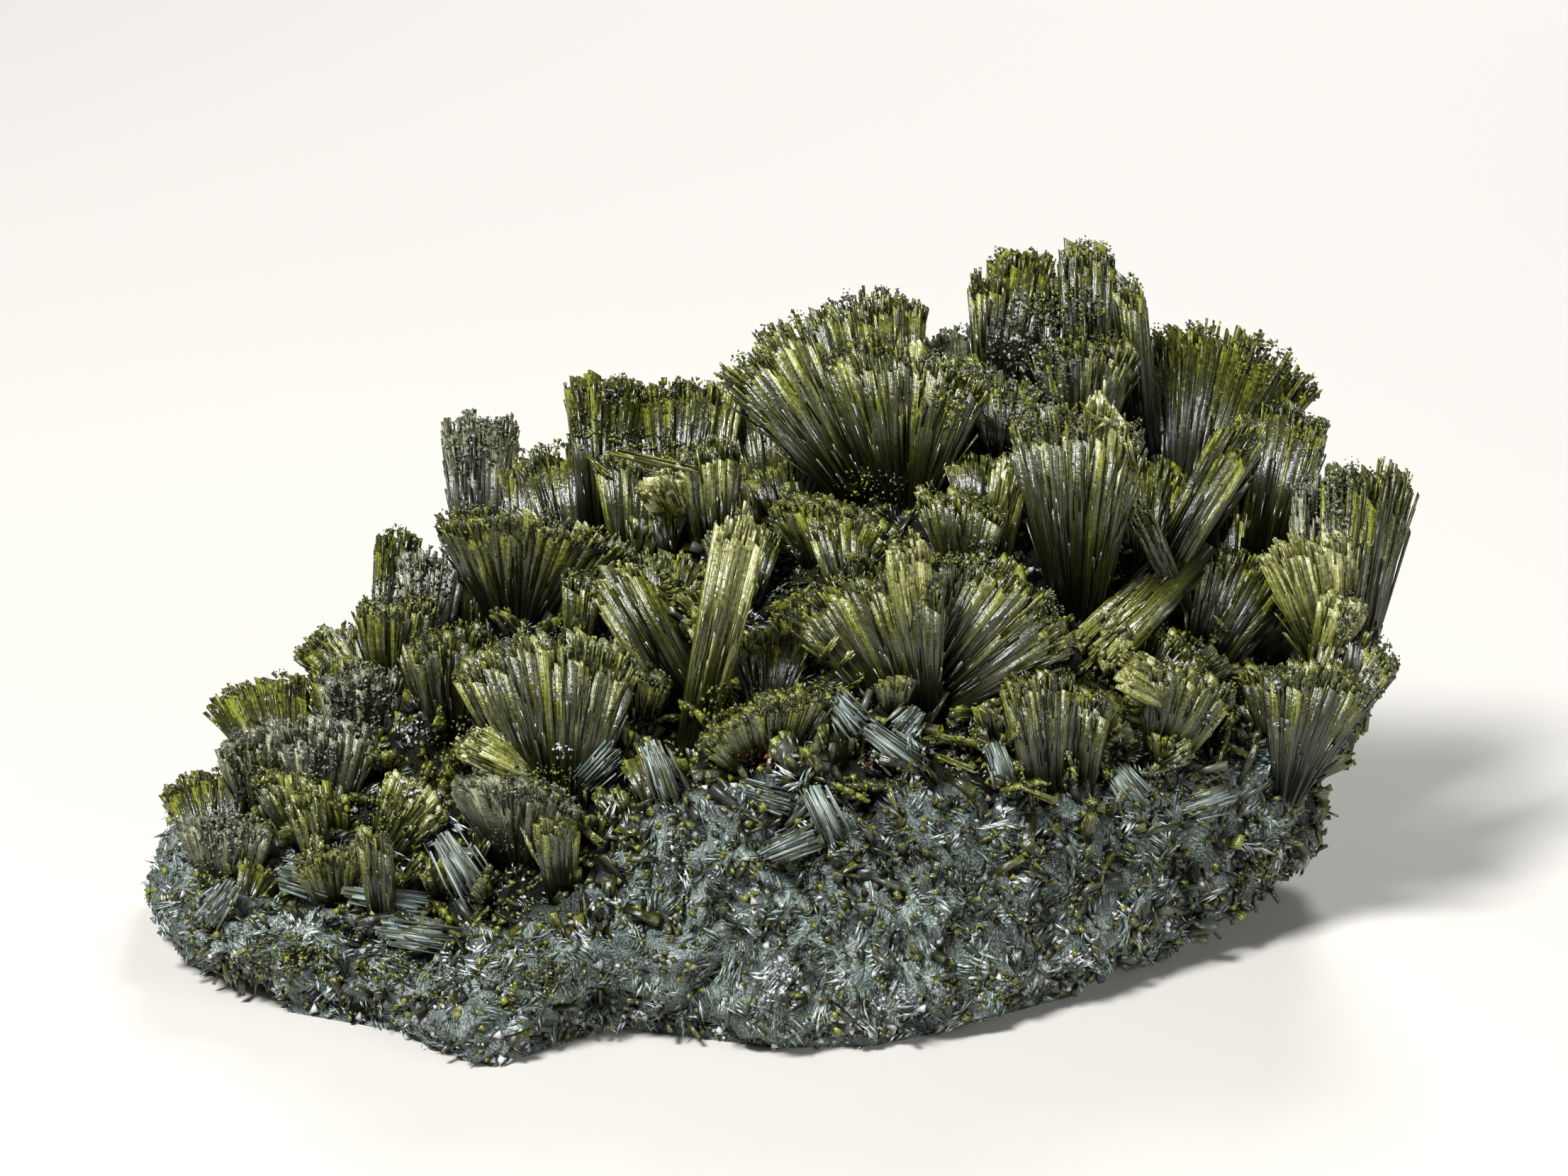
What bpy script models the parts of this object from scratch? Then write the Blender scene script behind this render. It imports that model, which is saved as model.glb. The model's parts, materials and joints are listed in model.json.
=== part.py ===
"""Epidote crystal cluster: fans of flat crystals grown on a rock of matted fine needles.

Lengths below are millimetres. The rock rests on its flat underside at Z = 0, its long side runs
along X, and its front faces -Y. Crystals on the front are placed as they are seen from the front,
VIEW_DOWN above the horizontal: millimetres across and up from the middle of that view.
"""

import math
import random

import bmesh
import bpy
from mathutils import Matrix, Vector, noise
from mathutils.bvhtree import BVHTree

MM = 0.001

# The view that the crystals are placed in
VIEW_DOWN = math.radians(20)
VIEW_DISTANCE = 400.0
VIEW_HEIGHT = 23.6

# The rock: three outlines seen from above, as X and Y
ROCK_CENTRE = (-3.0, 1.0)
ROCK_SEGMENTS = 96
ROCK_RINGS = 15
ROCK_FACES = 1300
BELLY_HEIGHT = 3.4
BELLY_STEPS = (0.25, 0.6, 1.0)
CRAG_SEED = 5
CRAGS = ((0.16, 1.1), (0.42, 0.9), (0.95, 0.55))
BASE = (
    (-38.6, 4), (-36.8, -6.4), (-30.8, -12.6), (-27.4, -10.8), (-23.6, -15.4), (-17.5, -21.2),
    (-11, -14.6), (-5, -16.8), (4.7, -18), (12.4, -13.6), (17.6, -10.4), (21.8, -4.8), (26, 3),
    (27.4, 8.5), (25, 15), (18, 19.5), (8, 21.5), (-6, 21), (-18, 18.5), (-29, 14.5), (-36, 10.5),
)
BELLY = (
    (-41, 4.5), (-39, -7), (-32, -13.4), (-28, -12.2), (-25, -16.4), (-18, -22), (-11.4, -17),
    (-5, -18.6), (5, -19.6), (13.4, -15.2), (19.2, -11.6), (26, -6), (32, -0.5), (34.8, 6),
    (32.6, 13), (24, 18.8), (10, 22.6), (-6, 22.2), (-19, 19.8), (-31, 15.6), (-39, 11),
)
SHOULDER = (
    (-39.4, 4.5), (-37.6, -5), (-31.4, -10.8), (-24.6, -13.8), (-17.6, -19), (-6, -17.6),
    (4, -17.8), (12.8, -13.4), (18.6, -10.4), (25.4, -5), (32.2, -0.6), (35, 5), (32, 13),
    (24, 17.8), (10, 21.4), (-6, 21), (-18.4, 18.6), (-30, 14.6), (-38, 10),
)

# How high the rock stands: X, Y and Z of places on its upper side
BLEND = 3.6
HEIGHTS = (
    (-39, 4, 5), (-37, -5, 4.8), (-31, -11, 4.4), (-24, -15, 4.6), (-17, -20, 4.4), (-8, -20, 5),
    (4, -19, 5.4), (13, -14, 6.2), (19, -11, 8), (25, -6, 9), (31, -1, 11.4), (34.6, 5, 13.4),
    (31, 12, 11), (24, 17, 10), (12, 21, 7), (-5, 21, 7), (-18, 18, 6), (-30, 14, 5), (-37, 9, 5),
    (-36, -2, 5.6), (-30, -7, 5.6), (-22, -10, 6.4), (-15, -13, 8), (-10, -11, 11.6),
    (-4, -10, 15), (5, -10, 15.6), (12, -8, 15.8), (19, -6, 15.2), (26, 0, 14.4), (30, 4, 14),
    (-30, 1, 8.6), (-22, -2, 11), (-15, -4, 13.4), (-8, -4, 16.6), (0, -4, 18), (8, -4, 18.8),
    (16, -1, 21), (23, 3, 20), (28, 8, 18),
    (-31, 8, 9.6), (-23, 6, 15), (-15, 5, 18.6), (-8, 5, 21.6), (0, 5, 22.6), (8, 5, 24),
    (16, 6, 29), (23, 9, 26),
    (-23, 13, 13), (-15, 12, 20.6), (-8, 12, 25.4), (0, 12, 26.6), (6, 12, 28), (12, 11, 33),
    (17, 11, 37), (22, 12, 31), (28, 13, 17),
    (-25, 16, 8), (-15, 17, 12), (-5, 17, 17.4), (5, 17, 19.4), (14, 17, 21), (21, 16, 17),
)
CREST_BACK = 12.0
FLAT = 0.25

# Crystals: how deep a foot is rooted, and the space left between rock and crystals
ROOT = 2.2
GAP = 0.3

# How a fan is fluted: the depth of a groove and of a side edge as shares of its thickness, the
# thickness at foot and tip as shares of that stated, and the steps of its rim
FLUTE_DEPTH = 0.45
EDGE_DEPTH = 0.75
FOOT_DEPTH = 0.75
TIP_DEPTH = 1.1
RIM_STEP = 0.09

# How far crystals turn about their own axes, in degrees
TURN_VARIETY = 24.0
BACK_TURN_VARIETY = 35.0

# Crystals of the back, and the bundles that lie on the rock
BACK_FOOT = 0.25
BACK_THICKNESS = 1.9
BUNDLE_SPREAD = 4
BUNDLE_THICKNESS = 1.6

# Joined crystals: the least volume kept, and how far many-sided ones are thinned
CRUMB = 0.6
JOINED_FACES = 120
JOINED_SHARE = 0.78
SAME_PLANE = math.radians(0.5)

# Crystals of the front, each with its foot and its tip across and up in the view, how far its
# tip leans back (-: forward), its half spread in degrees, the width of its foot, its thickness
# and its turn about its own axis in degrees. A foot with a third value stands that far back;
# the others stand where the view meets the rock.
CRYSTALS = (
    ("peak_left_blade", (14.2, 13.8), (15.2, 22.0), 2, 7, 2.0, 1.8, 0),
    ("peak_column", (19.2, 12.6), (19.1, 22.5), 0, 4, 1.9, 1.8, 0),
    ("peak_right_ridge", (22.4, 10.6), (21.0, 20.4), 0, 4, 1.8, 1.6, -20),
    ("peak_spur", (12.8, 13.4), (12.8, 20.4), 0, 4, 1.1, 1.0, 0),
    ("dome_edge_blade", (12.6, 9.8), (11.2, 14.6), -1, 7, 1.0, 1.0, 20),
    ("tall_fan", (18.6, -0.8), (18.5, 12.0), -2, 12, 2.4, 2.4, 0),
    ("tall_fan_side_lobe", (17.4, 2.6), (15.6, 10.0), -1, 9, 1.2, 1.4, 0),
    ("tall_fan_prism", (19.4, -0.4), (20.6, 12.8), -4, 2, 1.5, 1.5, 0),
    ("upper_fan", (18.7, 8.6), (19.2, 16.4), -3, 13, 2.0, 2.0, 0),
    ("yellow_stick", (13.4, 2.4), (14.8, 9.2), -1, 2, 1.5, 1.4, 0),
    ("hollow_fan", (11.2, 1.6), (11.2, 6.4), -1, 19, 1.6, 1.4, 0),
    ("leaning_prism", (24.8, 1.2, 4.0), (18.7, -4.9), -7, 2, 2.5, 2.4, 0),
    ("long_blade", (22.4, -1.6), (29.8, 11.4), 1, 2, 1.9, 1.7, 0),
    ("crossing_stick", (24.5, 0.4, 2.6), (22.0, 5.5), -1, 2, 1.0, 1.0, 0),
    ("roof_fan", (25.4, 4.4), (28.6, 16.8), 4, 22, 2.6, 2.0, 0),
    ("roof_gable", (30.4, 2.6), (32.2, 12.2), 2, 6, 3.0, 1.8, 0),
    ("right_slab", (33.8, -8.6, 6.0), (34.2, 8.2), 0, 3, 2.4, 1.8, 0),
    ("right_pale_fan", (34.6, -4.9, 5.0), (32.6, 4.0), -3, 11, 1.5, 1.4, 0),
    ("white_prism", (34.0, -5.2, 4.4), (35.6, 0.0), -3, 6, 1.3, 1.4, 0),
    ("rightmost_fan", (34.8, -9.2, 5.0), (37.2, 9.0), 1, 6, 2.0, 1.8, 0),
    ("lower_right_fan", (33.8, -9.6, 3.0), (37.2, -2.2), -1, 12, 1.5, 1.4, 0),
    ("hanging_prism", (36.4, -4.6, 2.2), (35.6, -9.8), -1, 2, 1.6, 1.5, 0),
    ("big_dark_right_fan", (32.2, -11.4), (34.2, -4.4), -2, 16, 1.7, 1.8, 0),
    ("right_bundle", (31.4, -9.6), (30.6, -4.4), -1, 9, 1.6, 1.4, 0),
    ("hollow_right_fan", (26.6, -4.2), (29.8, 2.6), 0, 16, 1.8, 1.6, 0),
    ("thin_diagonal_blade", (28.2, -4.6), (25.6, 0.2), -1, 2, 0.9, 0.9, 0),
    ("diagonal_fan", (9.6, -7.0), (16.6, 0.4), -3, 16, 1.5, 1.8, 0),
    ("short_prism", (25.2, -7.3, -1.6), (21.1, -4.7), -4, 2, 2.1, 2.0, 0),
    ("dark_blade_fan", (24.6, -8.4), (20.8, -7.3), -2, 15, 1.2, 1.2, 0),
    ("front_right_fan", (24.0, -10.6), (26.2, -4.7), -2, 15, 1.5, 1.6, 0),
    ("low_blade", (23.8, -9.4), (20.4, -10.6), -2, 4, 1.1, 1.1, 0),
    ("crusted_right_fan", (23.2, -5.4), (24.5, -2.3), -1, 28, 1.4, 1.6, 0),
    ("bundle_fan", (16.4, -12.2), (16.0, -4.6), -1, 9, 1.9, 1.7, 0),
    ("bundle_fan_twin", (18.6, -11.8), (18.9, -5.6), -1, 7, 1.8, 1.6, 0),
    ("small_centre_fan", (15.4, -9.6), (12.2, -7.4), -1, 15, 1.0, 1.1, 0),
    ("white_stick", (8.7, -5.0, -4.6), (7.6, 3.4), -4, 2, 1.7, 1.6, 0),
    ("big_dark_fan", (8.0, -7.4), (4.2, 1.4), -1, 23, 2.0, 1.9, 0),
    ("small_green_fan", (1.4, -3.8), (1.4, -0.6), -1, 20, 1.0, 1.1, 0),
    ("little_prism", (2.0, -5.4), (3.6, -3.0), -1, 3, 1.0, 1.0, 0),
    ("low_stick", (2.4, -6.4), (5.3, -5.0), -2, 3, 1.0, 1.0, 0),
    ("saddle_crust", (-1.0, -10.2), (-1.0, -6.6), -2, 36, 2.6, 1.8, 0),
    ("canopy_fan", (3.2, 1.8), (3.2, 5.8), -2, 34, 2.2, 1.6, 0),
    ("little_centre_fan", (10.2, -0.8), (10.2, 2.4), -1, 18, 1.2, 1.2, 0),
    ("great_fan", (5.6, 6.2), (1.6, 18.4), -1, 23, 3.0, 2.2, 0),
    ("second_fan", (7.8, 6.0), (7.6, 16.0), -2, 23, 2.2, 2.0, 0),
    ("back_ridge_fan", (8.0, 7.6), (5.0, 18.2), 3, 8, 2.4, 2.0, 0),
    ("back_ridge_wall", (11.8, 10.0), (11.4, 17.0), 4, 12, 2.6, 2.0, 0),
    ("white_back_stick", (-4.2, 5.6), (-3.5, 14.0), 2, 2, 1.3, 1.3, 0),
    ("back_left_fan", (-11.4, 5.4), (-11.2, 14.0), 3, 9, 2.4, 2.0, 0),
    ("back_left_ridge", (-6.6, 5.6), (-6.8, 13.6), 3, 12, 2.4, 2.0, 0),
    ("leaning_stick", (-5.6, -9.4), (-2.3, 5.4), -1, 2, 1.9, 1.8, 0),
    ("arch_fan_left", (-13.4, 2.2), (-14.4, 9.6), 2, 12, 2.2, 1.9, 0),
    ("arch_fan_right", (-8.8, 1.8), (-8.4, 8.8), 0, 16, 2.4, 2.0, 0),
    ("peak_blade", (-4.5, 2.4), (-4.9, 9.6), -1, 8, 1.8, 1.6, 0),
    ("bright_prism", (-6.0, 3.2), (-8.3, 7.2), -6, 4, 1.4, 1.4, 0),
    ("dark_left_fan", (-16.4, -2.2), (-14.8, 4.8), -6, 30, 1.8, 1.8, 0),
    ("horizontal_fan", (-11.4, -1.0), (-5.8, -0.8), -4, 11, 1.1, 1.2, 0),
    ("upright_blade", (-13.0, -3.8), (-12.8, 1.4), -1, 4, 1.3, 1.3, 0),
    ("dark_long_blade", (-6.2, -7.4), (-11.4, 1.8), 0, 3, 2.3, 1.9, 0),
    ("big_left_fan", (-14.0, -13.2), (-14.8, -2.2), -1, 21, 2.2, 2.2, 0),
    ("big_left_fan_lobe", (-17.2, -9.8), (-18.8, -4.0), -1, 13, 1.4, 1.4, 0),
    ("white_left_stick", (-14.0, -12.8), (-20.8, -9.1), -3, 2, 1.7, 1.7, 0),
    ("grey_topped_chunk", (-16.6, -16.6), (-17.0, -11.6), -3, 23, 2.2, 2.0, 0),
    ("dark_column", (-14.2, -18.6), (-14.5, -14.2), -2, 5, 1.4, 1.4, 0),
    ("back_left_lump", (-19.2, 2.6), (-19.2, 11.5), 3, 7, 2.6, 2.2, 0),
    ("left_stick", (-19.6, -2.6), (-19.8, 2.8), -1, 3, 1.2, 1.2, 0),
    ("left_back_blade", (-25.0, -2.6), (-24.2, 4.2), 3, 5, 1.6, 1.4, 0),
    ("left_crust_slab", (-22.4, -3.6), (-22.2, 2.6), 0, 10, 1.8, 1.7, 0),
    ("left_slab", (-24.6, -7.0), (-24.4, 0.0), -3, 10, 1.6, 1.6, 0),
    ("left_front_slab", (-21.0, -8.8), (-21.1, -2.0), -2, 10, 2.0, 1.8, 0),
    ("side_fan", (-26.8, -6.4), (-30.3, -2.8), 1, 9, 1.2, 1.2, 0),
    ("grey_dome", (-26.8, -10.2), (-26.6, -4.9), -1, 13, 2.2, 2.0, 0),
    ("left_chunk", (-29.0, -14.0), (-28.9, -7.8), -1, 15, 2.2, 2.0, 0),
    ("left_back_lump", (-31.8, -11.4), (-32.0, -5.5), 2, 15, 2.2, 2.0, 0),
    ("left_lump", (-33.0, -13.6), (-33.3, -8.4), -1, 15, 1.8, 1.8, 0),
    ("outer_chunk", (-35.0, -18.0), (-35.3, -14.0), -1, 17, 2.6, 2.0, 0),
    ("left_end_fan", (-36.0, -15.8), (-36.9, -11.2), 2, 18, 1.8, 1.6, 0),
    ("orange_blade", (-29.3, -17.8), (-30.5, -12.4), -1, 4, 1.1, 1.1, 0),
    ("left_low_stick", (-25.2, -21.4), (-26.0, -14.6), -1, 3, 1.2, 1.1, 0),
    ("crusted_triangle", (-28.0, -19.8), (-28.0, -16.0), -2, 20, 1.4, 1.3, 0),
    ("striped_fan", (-24.8, -16.0), (-22.5, -12.2), -2, 15, 1.2, 1.2, 0),
)

# Crystals of the back, the left end and the right end: the X and Y of the foot on the rock, the
# compass direction of the lean from +X, the tilt from upright, the length and the half spread.
# Angles are degrees.
BACK_CRYSTALS = (
    ("back_fan_1", -33, 10, 120, 35, 7, 18), ("back_fan_2", -27, 13, 110, 40, 8, 16),
    ("back_fan_3", -21, 15, 100, 35, 9, 18), ("back_fan_4", -14, 16, 95, 45, 9, 16),
    ("back_fan_5", -8, 17, 90, 35, 10, 18), ("back_fan_6", -1, 17, 90, 45, 9, 17),
    ("back_fan_7", 5, 17, 85, 30, 11, 19), ("back_fan_8", 12, 17, 80, 40, 10, 17),
    ("back_fan_9", 18, 16, 70, 35, 10, 18), ("back_fan_10", 25, 14, 55, 40, 9, 17),
    ("back_fan_11", -28, 9, 120, 20, 6, 15), ("back_fan_12", -16, 14, 100, 25, 6, 15),
    ("back_fan_13", 0, 12, 80, 15, 8, 18), ("back_fan_14", 25, 13, 60, 25, 7, 16),
    ("low_back_fan_1", -23, 18, 105, 60, 5, 15), ("low_back_fan_2", -9, 20.5, 95, 65, 5, 15),
    ("low_back_fan_3", 3, 20.5, 85, 65, 5, 15), ("low_back_fan_4", 15, 19, 70, 60, 6, 15),
    ("left_top_fan", -31, 0, 200, 15, 4.5, 17), ("left_plateau_fan", -23, 10.5, 110, 15, 6, 14),
    ("hollow_fan_left", -9, -3, 260, 20, 4.5, 17), ("hollow_fan_centre", -1, -4, 80, 15, 5, 18),
    ("hollow_fan_middle", 4, 3, 100, 10, 5, 17), ("hollow_fan_right", 19.4, -3.4, 300, 20, 3.2, 17),
    ("right_top_fan", 28, 6, 20, 30, 6, 17), ("right_end_fan", 31, 10, 40, 50, 5, 17),
)

# Flat bundles of needles that lie on the rock and are one with it, as foot and tip in the view
BUNDLES = (
    ((-32.0, -18.0), (-29.0, -18.9), 1.2), ((-28.0, -19.2), (-22.5, -20.2), 1.3),
    ((-26.0, -21.6), (-20.0, -22.4), 1.4), ((-21.8, -15.4), (-19.0, -20.0), 1.4),
    ((3.0, -6.8), (5.0, -9.2), 1.5), ((8.6, -7.6), (7.0, -9.4), 1.4),
    ((5.0, -8.6), (9.0, -11.6), 1.5), ((-8.6, -9.6), (-7.2, -13.6), 1.6),
    ((13.2, -9.6), (14.6, -13.4), 1.3), ((20.6, -11.2), (22.8, -14.0), 1.3),
    ((-34.6, -18.6), (-36.6, -21.4), 1.4), ((1.6, -12.4), (3.6, -16.4), 1.4),
)

EPIDOTE = ("epidote", "3B3E17", 0.22)
PALE_EPIDOTE = ("pale_epidote", "8F9248", 0.22)
CRUST = ("crusted_epidote", "6B7256", 0.55)
ROCK = ("actinolite_rock", "5F7772", 0.7)
PALE_CRYSTALS = {
    "white_stick", "white_prism", "bright_prism", "white_left_stick", "white_back_stick",
    "tall_fan_prism", "leaning_prism", "leaning_stick", "right_pale_fan", "short_prism",
    "yellow_stick", "striped_fan",
}
CRUSTED_CRYSTALS = {
    "right_slab", "saddle_crust", "grey_dome", "left_chunk", "outer_chunk", "left_crust_slab",
    "back_left_lump", "grey_topped_chunk", "left_lump", "back_ridge_wall",
}


def clear_scene():
    for existing in list(bpy.data.objects):
        bpy.data.objects.remove(existing, do_unlink=True)


def eye():
    """Where the view is taken from."""
    return Vector((
        0,
        -VIEW_DISTANCE * math.cos(VIEW_DOWN),
        VIEW_HEIGHT + VIEW_DISTANCE * math.sin(VIEW_DOWN),
    ))


def seen(across, up, back):
    """The point that the view shows at this place, this far back along Y."""
    start = eye()
    aim = Vector((across, up * math.sin(VIEW_DOWN), VIEW_HEIGHT + up * math.cos(VIEW_DOWN)))
    return start + (aim - start) * (back - start.y) / (aim.y - start.y)


def radius_at(outline, angle):
    """The outline's distance from the rock's centre in this direction."""
    polar = []
    for x, y in outline:
        dx, dy = x - ROCK_CENTRE[0], y - ROCK_CENTRE[1]
        polar.append((math.atan2(dy, dx) % math.tau, math.hypot(dx, dy)))
    polar.sort()
    last, first = polar[-1], polar[0]
    polar = [(last[0] - math.tau, last[1])] + polar + [(first[0] + math.tau, first[1])]
    angle %= math.tau
    for (a0, r0), (a1, r1) in zip(polar, polar[1:]):
        if a0 <= angle <= a1:
            return r0 + (r1 - r0) * (angle - a0) / (a1 - a0)
    return last[1]


def rock_height(x, y):
    """The rock's upper side above this place."""
    total, weights = 0.0, 1e-9
    for px, py, pz in HEIGHTS:
        weight = math.exp(-((x - px) ** 2 + (y - py) ** 2) / (2 * BLEND**2))
        total += weight * pz
        weights += weight
    return total / weights


def on_rock(across, up):
    """Where the view meets the rock, or its crest where the view passes over it."""
    back = -24.0
    while back < CREST_BACK:
        point = seen(across, up, back)
        if point.z <= rock_height(point.x, point.y):
            return point
        back += 0.25
    return seen(across, up, CREST_BACK)


def material(name, hex_colour, roughness):
    """A plain surface of this sRGB colour."""
    existing = bpy.data.materials.get(name)
    if existing:
        return existing
    made = bpy.data.materials.new(name)
    made.use_nodes = True
    shader = made.node_tree.nodes["Principled BSDF"]
    channels = [int(hex_colour[i:i + 2], 16) / 255 for i in (0, 2, 4)]
    linear = [((c + 0.055) / 1.055) ** 2.4 if c > 0.04045 else c / 12.92 for c in channels]
    shader.inputs["Base Color"].default_value = (*linear, 1)
    shader.inputs["Roughness"].default_value = roughness
    shader.inputs["Metallic"].default_value = 0
    return made


def make_object(name, bm, look):
    """An object of its own for this mesh."""
    mesh = bpy.data.meshes.new(name)
    bmesh.ops.recalc_face_normals(bm, faces=bm.faces[:])
    bm.to_mesh(mesh)
    bm.free()
    mesh.materials.append(material(*look))
    made = bpy.data.objects.new(name, mesh)
    bpy.context.scene.collection.objects.link(made)
    return made


def facing_out(bm):
    """The closed mesh with its faces turned outwards."""
    bm.normal_update()
    bmesh.ops.recalc_face_normals(bm, faces=bm.faces[:])
    if bm.calc_volume(signed=True) < 0:
        bmesh.ops.reverse_faces(bm, faces=bm.faces[:])
    bm.normal_update()
    return bm


def rock():
    """Rings around the rock from its flat base, over the belly and shoulder, up to the crest."""
    angles = [math.tau * i / ROCK_SEGMENTS for i in range(ROCK_SEGMENTS)]

    def place(outline, shrink, angle, height=None):
        radius = radius_at(outline, angle) * shrink
        x = ROCK_CENTRE[0] + radius * math.cos(angle)
        y = ROCK_CENTRE[1] + radius * math.sin(angle)
        z = rock_height(x, y) if height is None else height
        return Vector((x, y, z))

    rings = [[place(BASE, 1, a, 0) for a in angles]]
    for share in BELLY_STEPS:
        low = [place(BASE, 1, a, BELLY_HEIGHT * share) for a in angles]
        wide = [place(BELLY, 1, a, BELLY_HEIGHT * share) for a in angles]
        rings.append([p.lerp(q, share**0.5) for p, q in zip(low, wide)])
    for i in range(ROCK_RINGS):
        shrink = 1 - i / ROCK_RINGS
        rings.append([place(SHOULDER, shrink, a) for a in angles])

    rows = len(rings) - 1
    bm = bmesh.new()
    bmesh.ops.create_grid(bm, x_segments=ROCK_SEGMENTS, y_segments=rows, size=1)
    for vert in bm.verts:
        column = round((vert.co.x + 1) / 2 * ROCK_SEGMENTS) % ROCK_SEGMENTS
        row = round((vert.co.y + 1) / 2 * rows)
        vert.co = rings[row][column]
    bmesh.ops.remove_doubles(bm, verts=bm.verts[:], dist=0.001)
    bmesh.ops.holes_fill(bm, edges=[edge for edge in bm.edges if edge.is_boundary])
    caps = [face for face in bm.faces if len(face.verts) > 4]
    bmesh.ops.poke(bm, faces=[face for face in caps if face.calc_center_median().z > 1])
    noise.seed_set(CRAG_SEED)
    for vert in bm.verts:
        if vert.co.z > FLAT:
            crag = sum((noise.noise_vector(vert.co * scale) * depth for scale, depth in CRAGS), Vector())
            vert.co += crag * min(1, vert.co.z / BELLY_HEIGHT)
    bm = thinned(facing_out(bm), ROCK_FACES)
    for vert in bm.verts:
        if vert.co.z < FLAT:
            vert.co.z = 0
    bmesh.ops.dissolve_limit(bm, angle_limit=SAME_PLANE, verts=bm.verts[:], edges=bm.edges[:])
    bmesh.ops.triangulate(bm, faces=bm.faces[:])
    return facing_out(bm)


def thinned(bm, faces):
    """The mesh with about this many faces, as collapse keeps its shape best."""
    bmesh.ops.triangulate(bm, faces=bm.faces[:])
    dense = mesh_object(bm)
    collapse = dense.modifiers.new("collapse", "DECIMATE")
    collapse.ratio = faces / len(bm.faces)
    return modified(dense)


def crystal(seed, foot, tip, half_spread, foot_width, thickness, turn):
    """A fluted fan from foot to tip. It faces the viewer, or shows its edge at a turn of 90."""
    rng = random.Random(seed)
    axis = tip - foot
    length = axis.length + ROOT
    axis.normalize()
    facing = eye() - foot
    facing = (facing - axis * facing.dot(axis)).normalized()
    facing = Matrix.Rotation(math.radians(turn), 3, axis) @ facing
    side = axis.cross(facing)
    start = foot - axis * ROOT
    half = math.radians(half_spread)
    flutes = flutes_of(half_spread, length)
    apex = foot_width / (2 * math.tan(half))

    bm = bmesh.new()
    bmesh.ops.create_grid(bm, x_segments=flutes, y_segments=1, size=1)
    bmesh.ops.solidify(bm, geom=bm.faces[:], thickness=1)
    middle = sum(v.co.z for v in bm.verts) / len(bm.verts)
    rims = [1 - RIM_STEP * rng.random() for _ in range(flutes + 1)]
    rims[0] -= RIM_STEP
    rims[-1] -= RIM_STEP
    for vert in bm.verts:
        column = round((vert.co.x + 1) / 2 * flutes)
        along = (vert.co.y + 1) / 2
        face = 1 if vert.co.z > middle else -1
        angle = vert.co.x * half
        radius = apex + along * length * (rims[column] if along > 0.99 else 1)
        edge = EDGE_DEPTH if column in (0, flutes) else 1.0
        flute = edge * (1 if column % 2 else 1 - FLUTE_DEPTH)
        depth = thickness / 2 * flute * (FOOT_DEPTH + (TIP_DEPTH - FOOT_DEPTH) * along)
        along_axis = axis * (radius * math.cos(angle) - apex)
        vert.co = start + along_axis + side * radius * math.sin(angle) + facing * face * depth
    return facing_out(bm)


def flutes_of(half_spread, length):
    """Broad fans have more flutes than narrow blades."""
    if half_spread >= 12 and length > 8:
        return 6
    if half_spread >= 9:
        return 4
    return 2


def front_crystals():
    """Name and mesh of each crystal of the front."""
    for i, (name, foot, tip, lean, half_spread, width, thickness, turn) in enumerate(CRYSTALS):
        start = seen(*foot) if len(foot) == 3 else on_rock(*foot)
        end = seen(*tip, start.y + lean)
        turn += TURN_VARIETY * math.sin(2.4 * i)
        yield name, crystal(name, start, end, half_spread, width, thickness, turn)


def back_crystals():
    """Name and mesh of each crystal that faces away."""
    for i, (name, x, y, compass, tilt, length, half_spread) in enumerate(BACK_CRYSTALS):
        start = Vector((x, y, rock_height(x, y)))
        lean = Vector((math.cos(math.radians(compass)), math.sin(math.radians(compass)), 0))
        slope = math.radians(tilt)
        end = start + (lean * math.sin(slope) + Vector((0, 0, math.cos(slope)))) * length
        width = BACK_FOOT * length
        turn = BACK_TURN_VARIETY * math.sin(2.4 * i)
        yield name, crystal(name, start, end, half_spread, width, BACK_THICKNESS, turn)


def bundles():
    """Flat bundles of needles, half sunk in the rock."""
    for i, (foot, tip, width) in enumerate(BUNDLES):
        yield crystal(i, on_rock(*foot), on_rock(*tip), BUNDLE_SPREAD, width, BUNDLE_THICKNESS, 0)


def inflated(bm, distance):
    """A copy pushed outwards by this much."""
    grown = bm.copy()
    grown.normal_update()
    shifts = []
    for vert in grown.verts:
        shifts.append(vert.normal * distance * min(vert.calc_shell_factor(), 2.0))
    for vert, shift in zip(grown.verts, shifts):
        vert.co += shift
    return grown


def mesh_object(bm):
    """A helper object of this mesh, for a modifier to work on."""
    mesh = bpy.data.meshes.new("helper")
    bm.to_mesh(mesh)
    helper = bpy.data.objects.new("helper", mesh)
    bpy.context.scene.collection.objects.link(helper)
    return helper


def modified(helper):
    """The mesh as the helper's modifiers leave it."""
    result = helper.evaluated_get(bpy.context.evaluated_depsgraph_get()).to_mesh()
    changed = bmesh.new()
    changed.from_mesh(result)
    bpy.data.objects.remove(helper, do_unlink=True)
    bmesh.ops.dissolve_limit(
        changed, angle_limit=SAME_PLANE, verts=changed.verts[:], edges=changed.edges[:]
    )
    bmesh.ops.triangulate(changed, faces=changed.faces[:])
    return changed


def combine(base, other, operation):
    """The exact union of two meshes, or the first with the second cut from it."""
    body, tool = mesh_object(base), mesh_object(other)
    cut = body.modifiers.new("combine", "BOOLEAN")
    cut.operation = operation
    cut.solver = "EXACT"
    cut.object = tool
    result = modified(body)
    bpy.data.objects.remove(tool, do_unlink=True)
    return result


def joined(meshes):
    """The union of them all."""
    whole = meshes[0]
    for mesh in meshes[1:]:
        whole = combine(whole, mesh, "UNION")
    return whole


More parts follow.
